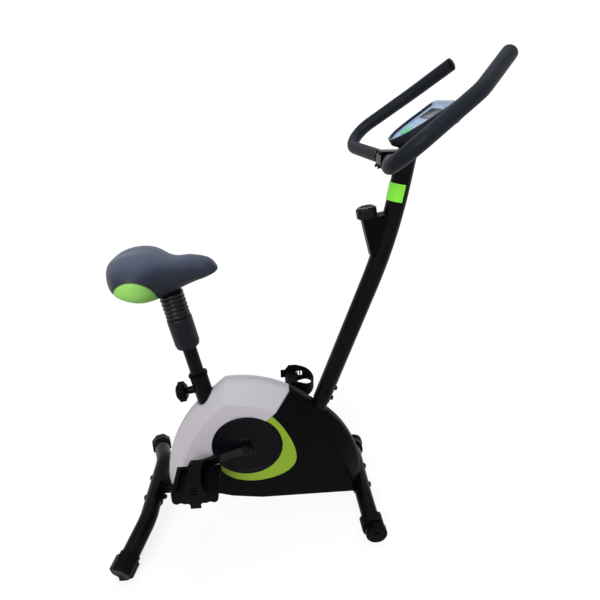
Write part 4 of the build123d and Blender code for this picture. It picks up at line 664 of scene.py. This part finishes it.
def rounded_profile(corners, radius, steps=4):
    """Profile with each inner corner cut by an arc: a quadratic curve between points on its two sides."""
    corners = np.asarray(corners, float)
    before, after = corners[:-2] - corners[1:-1], corners[2:] - corners[1:-1]
    before_length = np.linalg.norm(before, axis=1)[:, None]
    after_length = np.linalg.norm(after, axis=1)[:, None]
    reach = np.minimum(radius, 0.45 * np.minimum(before_length, after_length))
    start = corners[1:-1] + before / before_length * reach
    end = corners[1:-1] + after / after_length * reach
    t = np.linspace(0, 1, steps)[None, :, None]
    arcs = (1 - t) ** 2 * start[:, None] + 2 * t * (1 - t) * corners[1:-1, None] + t ** 2 * end[:, None]
    return np.concatenate((corners[:1], arcs.reshape(-1, 2), corners[-1:]))


def ripples(radius, rise, count, sharp):
    """Radius and height up the boot: radius + rise |sin(pi count h)| ** sharp, for h from 0 to 1."""
    h = np.linspace(0.0, 1.0, 12 * count + 1)
    wave = np.abs(np.sin(np.pi * count * h)) ** sharp
    return np.stack((radius + rise * wave, END_GAP + h * (BOOT_LENGTH - 2 * END_GAP)), -1)


def make_squeezed(name, profile, count, node):
    """Turned rubber piece on the sleeve, riding on the seat with a mesh of its own; the real one shortens
    as the saddle sinks.
    """
    foot = on_seat(SLEEVE_FOOT + SLEEVE_LENGTH)
    points = turned_surface(foot, SEAT_DIR, SEAT_FRONT, profile, count)
    piece = grid_object(name, place(points), True, True)
    set_piece(piece, "seat", "boot_rubber", FINISHES["boot_rubber"], node)
    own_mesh(piece)


def make_boot():
    """Rubber boot: folds with a thin wall, the inside a copy of the outside."""
    outside = ripples(BOOT_R, BOOT_FOLD, BOOT_FOLDS, 0.55)
    inside = outside[::-1] - np.array((BOOT_WALL, 0.0))
    make_squeezed("saddle_boot", np.concatenate((outside, inside)), 72, "saddle_bellows")


def make_spring():
    """Rubber spring rings around the saddle's shaft, with a straight bore."""
    outside = ripples(RING_R, RING_RISE, RING_COUNT, 0.7)
    inside = outside[::-1] * np.array((0.0, 1.0)) + np.array((RING_BORE, 0.0))
    make_squeezed("saddle_rings", np.concatenate((outside, inside)), 48, "saddle_spring")


def knurled():
    """Sleeve plastic: fine upright ribs round the axis, broken by the mould's mottling."""
    made = Finish("sleeve_black", srgb(18, 18, 26), 0.44, **{"Specular IOR Level": 0.13})
    ribs = made.add("ShaderNodeTexWave", {"bands_direction": "Y", "wave_type": "BANDS"},
                    {"Vector": made.spot, "Scale": 120.0, "Distortion": 1.5, "Detail": 1.0}, "Fac")
    clouds = made.noise(40.0, 4.0)
    speck = made.noise(240.0, 3.0).above(0.58, 0.08) * 0.5 + 0.5 * clouds
    made.feed(**{"Base Color": made.blend(speck, srgb(6, 6, 12), srgb(28, 29, 42)),
                 "Roughness": 0.32 + 0.2 * clouds})
    made.bump(ribs + made.noise(700.0), 0.55, 0.0008)
    return made.material


def make_sleeve():
    """Guide sleeve: a turned profile with a stepped lip below and a rounded shoulder above."""
    profile = rounded_profile(SLEEVE_WALL, 1.0)
    points = turned_surface(on_seat(SLEEVE_FOOT), SEAT_DIR, SEAT_FRONT, profile, 96)
    piece = grid_object("guide_sleeve", place(points), False, True)
    set_piece(piece, "seat", "black_plastic", knurled(), "seat_sleeve")


# Console
RIM_STATIONS = (-77.0, -72.0, -62.0, -45.0, -21.0, 3.0, 40.0, 62.0)
RIM_HALVES = (0.0, 22.0, 37.0, 51.0, 60.0, 65.0, 69.5, 71.7)
RIM_FAR = 72.0                     # far end of the rim
RIM_CORNER = (69.0, 69.5)          # far corner, along and to the left
RIM_STRAIGHT = 60.0                # half of the far end's straight stretch
BEAD_INSET = 3.4
BEAD_SINK = 0.4
BEAD_R = 1.1
VISOR_NEAR = 60.5
VISOR_REACH = 11.3
VISOR_BOW = 3.2                    # how far its two ends lie back
VISOR_FOOT = -5.9
VISOR_RISE = 6.7
VISOR_HALF = 67.0
VISOR_TAPER = 3.0
VISOR_THICK = 0.5


def on_console(along, left, lift):
    """Point over the console's face, in metres of the bike's frame."""
    along, left, lift = np.broadcast_arrays(along, left, lift)
    spot = CONSOLE_SPOT + along[..., None] * CONSOLE_ALONG + left[..., None] * SIDEWAYS
    return place(spot + lift[..., None] * CONSOLE_UP)


def rim_line(inset, count=200):
    """Closed line inside the console's outline: a smooth curve by chord length through its stations."""
    along, half = np.array(RIM_STATIONS), np.array(RIM_HALVES)
    half = np.maximum(half - inset, 0.0)
    along = along * (1.0 + inset / RIM_STATIONS[0])
    corner = (RIM_CORNER[0] - inset, RIM_CORNER[1] - inset)
    far = np.array((corner, (RIM_FAR - inset, RIM_STRAIGHT), (RIM_FAR - inset, 0.0)))
    left = np.concatenate((np.stack((along, half), -1), far))
    line = np.concatenate((left, left[-2:0:-1] * np.array((1.0, -1.0))))
    line = np.concatenate((line[-3:], line, line[:4]))
    chord = np.concatenate(((0.0,), np.cumsum(np.linalg.norm(np.diff(line, axis=0), axis=1))))
    at = np.linspace(chord[3], chord[-4], count, endpoint=False)
    return through(chord, line[:, 0], at), through(chord, line[:, 1], at)


def make_console_rim():
    """Satin bead inside the case's rim: a thin tube carried along the inset rim line."""
    along, left = rim_line(BEAD_INSET)
    path = on_console(along, left, np.full_like(along, -BEAD_SINK))
    piece = grid_object("console_bead", carried(path, CONSOLE_UP, BEAD_R * MM, 12, True), True, True)
    bead = moulded("bead_silver", srgb(120, 138, 168), 0.30, relief=0.05, Metallic=0.5)
    set_piece(piece, "frame", "console_silver", bead)


def make_console_visor():
    """Turned-up far end of the printed face: a bent strip, its section an S from the face over the rim."""
    left = np.linspace(-1.0, 1.0, 61)[:, None]
    turn = np.linspace(0.0, 1.0, 15)[None, :]
    along = VISOR_NEAR + VISOR_REACH * turn - VISOR_BOW * np.abs(left) ** 6
    lift = VISOR_FOOT + VISOR_RISE * np.sin(0.5 * np.pi * np.minimum(turn * 1.25, 1.0)) ** 2
    half = VISOR_HALF - VISOR_TAPER * turn
    over = on_console(along, left * half, lift)
    under = on_console(along, left * half, lift - VISOR_THICK * np.sqrt(1.0 - left ** 20))
    points = np.concatenate((over, under[:, ::-1]), 1)
    piece = grid_object("console_visor", points, False, True)
    visor = moulded("visor_silver", srgb(180, 204, 238), 0.28, relief=0.05, shift=0.03)
    set_piece(piece, "frame", "console_silver", visor)


# Pedals
CRANK_LENGTH = 152.0
CRANK_DROP = math.radians(13.0)    # the right arm points back and this far down
LEFT_PEDAL_TURN = math.radians(90.0)
PEDAL_MIDDLE = 153.5
TREAD_SPOTS = (-42.0, -8.0, 0.0, 8.0, 41.0, 49.0, 57.0, 65.0)
TREAD_HEIGHT = 10.9                # of a ridge's axis over the spindle
TREAD_HALF = 44.0
TREAD_R = 1.7


def make_treads(name, way, turn):
    """Tread bars over a pedal: half-round ridges, radius R (1 - |v| ** 10) ** 0.5 for v along a bar."""
    spots, reach = np.array(TREAD_SPOTS), np.linspace(-1.0, 1.0, 25)
    radius = TREAD_R * np.sqrt(np.clip(1.0 - np.abs(reach) ** 10, 0.0, 1.0))
    c, s = math.cos(turn), math.sin(turn)
    x = way * CRANK_LENGTH * math.cos(CRANK_DROP) + spots * c + TREAD_HEIGHT * s
    z = AXLE_Z + way * CRANK_LENGTH * math.sin(CRANK_DROP) - spots * s + TREAD_HEIGHT * c
    y = way * (PEDAL_MIDDLE + TREAD_HALF * reach)
    paths = np.stack(np.broadcast_arrays(x[:, None], y[None, :], z[:, None]), -1)
    bars = np.stack([carried(place(path), (s, 0.0, c), radius * MM, 12) for path in paths])
    piece = grid_object(name, bars, False, True)
    set_piece(piece, name.replace("_tread", "_pedal"), "foot_rubber", FINISHES["foot_rubber"])


# Rear stub
GUSSET_SPOT = (-262.0, -21.0, 94.8)
GUSSET_REACH = (22.0, 2.0, 31.0)


def make_gusset():
    """Half-round stiffener on the rear beam: a half ellipse in x and z, pulled in to a soft edge over y."""
    turn = np.linspace(0.0, 2.0 * np.pi, 96, endpoint=False)[None, :]
    edge = np.linspace(0.0, 1.0, 25)[:, None]
    reach = np.clip(np.sin(np.pi * edge), 0.0, 1.0) ** 0.18
    reach[[0, -1]] = 0.0
    x = GUSSET_SPOT[0] + GUSSET_REACH[0] * reach * np.cos(turn)
    y = GUSSET_SPOT[1] - GUSSET_REACH[1] * np.cos(np.pi * edge)
    z = GUSSET_SPOT[2] + GUSSET_REACH[2] * reach * np.maximum(np.sin(turn), 0.0)
    points = np.stack(np.broadcast_arrays(x, y, z), -1)
    piece = grid_object("stub_gusset", place(points), False, True)
    set_piece(piece, "frame", "black_paint", FINISHES["black_paint"])


# Stage, light and camera
WHITE = (1.0, 1.0, 1.0, 1.0)
FLOOR_REACH = 60.0
FLOOR_Z = -0.0005
FLOOR_PALE = (0.9, 0.9, 0.9, 1.0)
FLOOR_GREY = (0.42, 0.42, 0.42, 1.0)     # what the floor throws back at the bike
FLOOR_GLOW = 0.70                        # share of its white that is its own; the rest keeps the shadow
FLOOR_LIT = 0.58                         # brightness of the lit share where nothing shades it
SKY_TINT = (0.93, 0.96, 1.0, 1.0)
SKY_LIGHT = 0.20


def make_floor():
    """Wide pale floor that keeps the bike's soft shadow: a flat grid of 2 by 2 points."""
    x, y = np.meshgrid((-FLOOR_REACH, FLOOR_REACH), (-FLOOR_REACH, FLOOR_REACH), indexing="ij")
    floor = grid_object("studio_floor", np.stack((x, y, np.full_like(x, FLOOR_Z)), -1))
    pale = Finish("floor_white", FLOOR_PALE, 0.9, **{"Specular IOR Level": 0.0})
    own = (1.0 - (1.0 - FLOOR_GLOW) * FLOOR_LIT) / FLOOR_GLOW
    glow = pale.add("ShaderNodeEmission", {}, {"Color": WHITE, "Strength": own})
    shown = pale.add("ShaderNodeMixShader", {}, {0: FLOOR_GLOW, 1: pale.shader, 2: glow})
    grey = pale.add("ShaderNodeBsdfDiffuse", {}, {"Color": FLOOR_GREY})
    pale.connect(pale.surface, pale.add("ShaderNodeMixShader", {}, {0: pale.seen(), 1: grey, 2: shown}))
    floor.data.materials.append(pale.material)


def make_world():
    """Even soft light, and plain white behind the bike and in what mirrors it."""
    world = bpy.data.worlds.new("studio")
    bpy.context.scene.world = world
    world.use_nodes = True
    sky = Nodes(world.node_tree)
    soft = sky.add("ShaderNodeBackground", {}, {"Color": SKY_TINT, "Strength": SKY_LIGHT})
    white = sky.add("ShaderNodeBackground", {}, {"Color": WHITE, "Strength": 1.0})
    shown = sky.add("ShaderNodeMixShader", {}, {0: sky.seen(), 1: soft, 2: white})
    sky.add("ShaderNodeOutputWorld", {}, {"Surface": shown})


def make_lamp(name, toward, strength, width, tint=(1.0, 1.0, 1.0), mirrored=True):
    """Far soft lamp that shines along a direction, spread over an angle in degrees."""
    data = bpy.data.lights.new(name, "SUN")
    data.energy = strength
    data.angle = math.radians(width)
    data.color = tint
    lamp = bpy.data.objects.new(name, data)
    lamp.visible_glossy = mirrored
    lamp.rotation_mode = "QUATERNION"
    lamp.rotation_quaternion = Vector(toward).to_track_quat("-Z", "Y")
    bpy.context.scene.collection.objects.link(lamp)


CAMERA_SPOT = (0.097, -1.115, 1.182)     # x from the crank axle
CAMERA_DIP = math.radians(23.652)
CAMERA_SWING = math.radians(3.482)
CAMERA_ROLL = math.radians(-1.02)
CAMERA_LENS = 27.448
CAMERA_SENSOR = 36.0
CAMERA_RANGE = (0.02, 50.0)


def make_camera():
    """Camera at the photo's place: dipped, swung a little to the front and rolled."""
    dip, swing, roll = CAMERA_DIP, CAMERA_SWING, CAMERA_ROLL
    ahead = Vector((math.sin(swing) * math.cos(dip), math.cos(swing) * math.cos(dip), -math.sin(dip)))
    level = Vector((math.cos(swing), -math.sin(swing), 0.0))
    upright = level.cross(ahead)
    right = level * math.cos(roll) + upright * math.sin(roll)
    up = upright * math.cos(roll) - level * math.sin(roll)
    data = bpy.data.cameras.new("photo_camera")
    data.sensor_width = CAMERA_SENSOR
    data.lens = CAMERA_LENS
    data.clip_start, data.clip_end = CAMERA_RANGE
    camera = bpy.data.objects.new("photo_camera", data)
    turn = Matrix((right, up, -ahead)).transposed()
    camera.matrix_world = Matrix.Translation((CAMERA_SPOT[0] + AXLE_X, *CAMERA_SPOT[1:])) @ turn.to_4x4()
    bpy.context.scene.collection.objects.link(camera)
    bpy.context.scene.camera = camera


dress_frame()
make_saddle()
make_boot()
make_spring()
make_sleeve()
make_console_rim()
make_console_visor()
make_gusset()
make_treads("right_tread", -1, 0.0)
make_treads("left_tread", 1, LEFT_PEDAL_TURN)
make_floor()
make_world()
make_lamp("key_lamp", (0.9, 2.8, -1.8), 2.10, 40.0)
make_lamp("top_lamp", (-0.3, -0.6, -2.7), 0.60, 46.0, (0.66, 0.82, 1.0))
make_lamp("far_lamp", (-0.4, -2.8, -1.2), 0.85, 50.0, mirrored=False)
make_camera()
bpy.context.scene.view_settings.view_transform = "Standard"
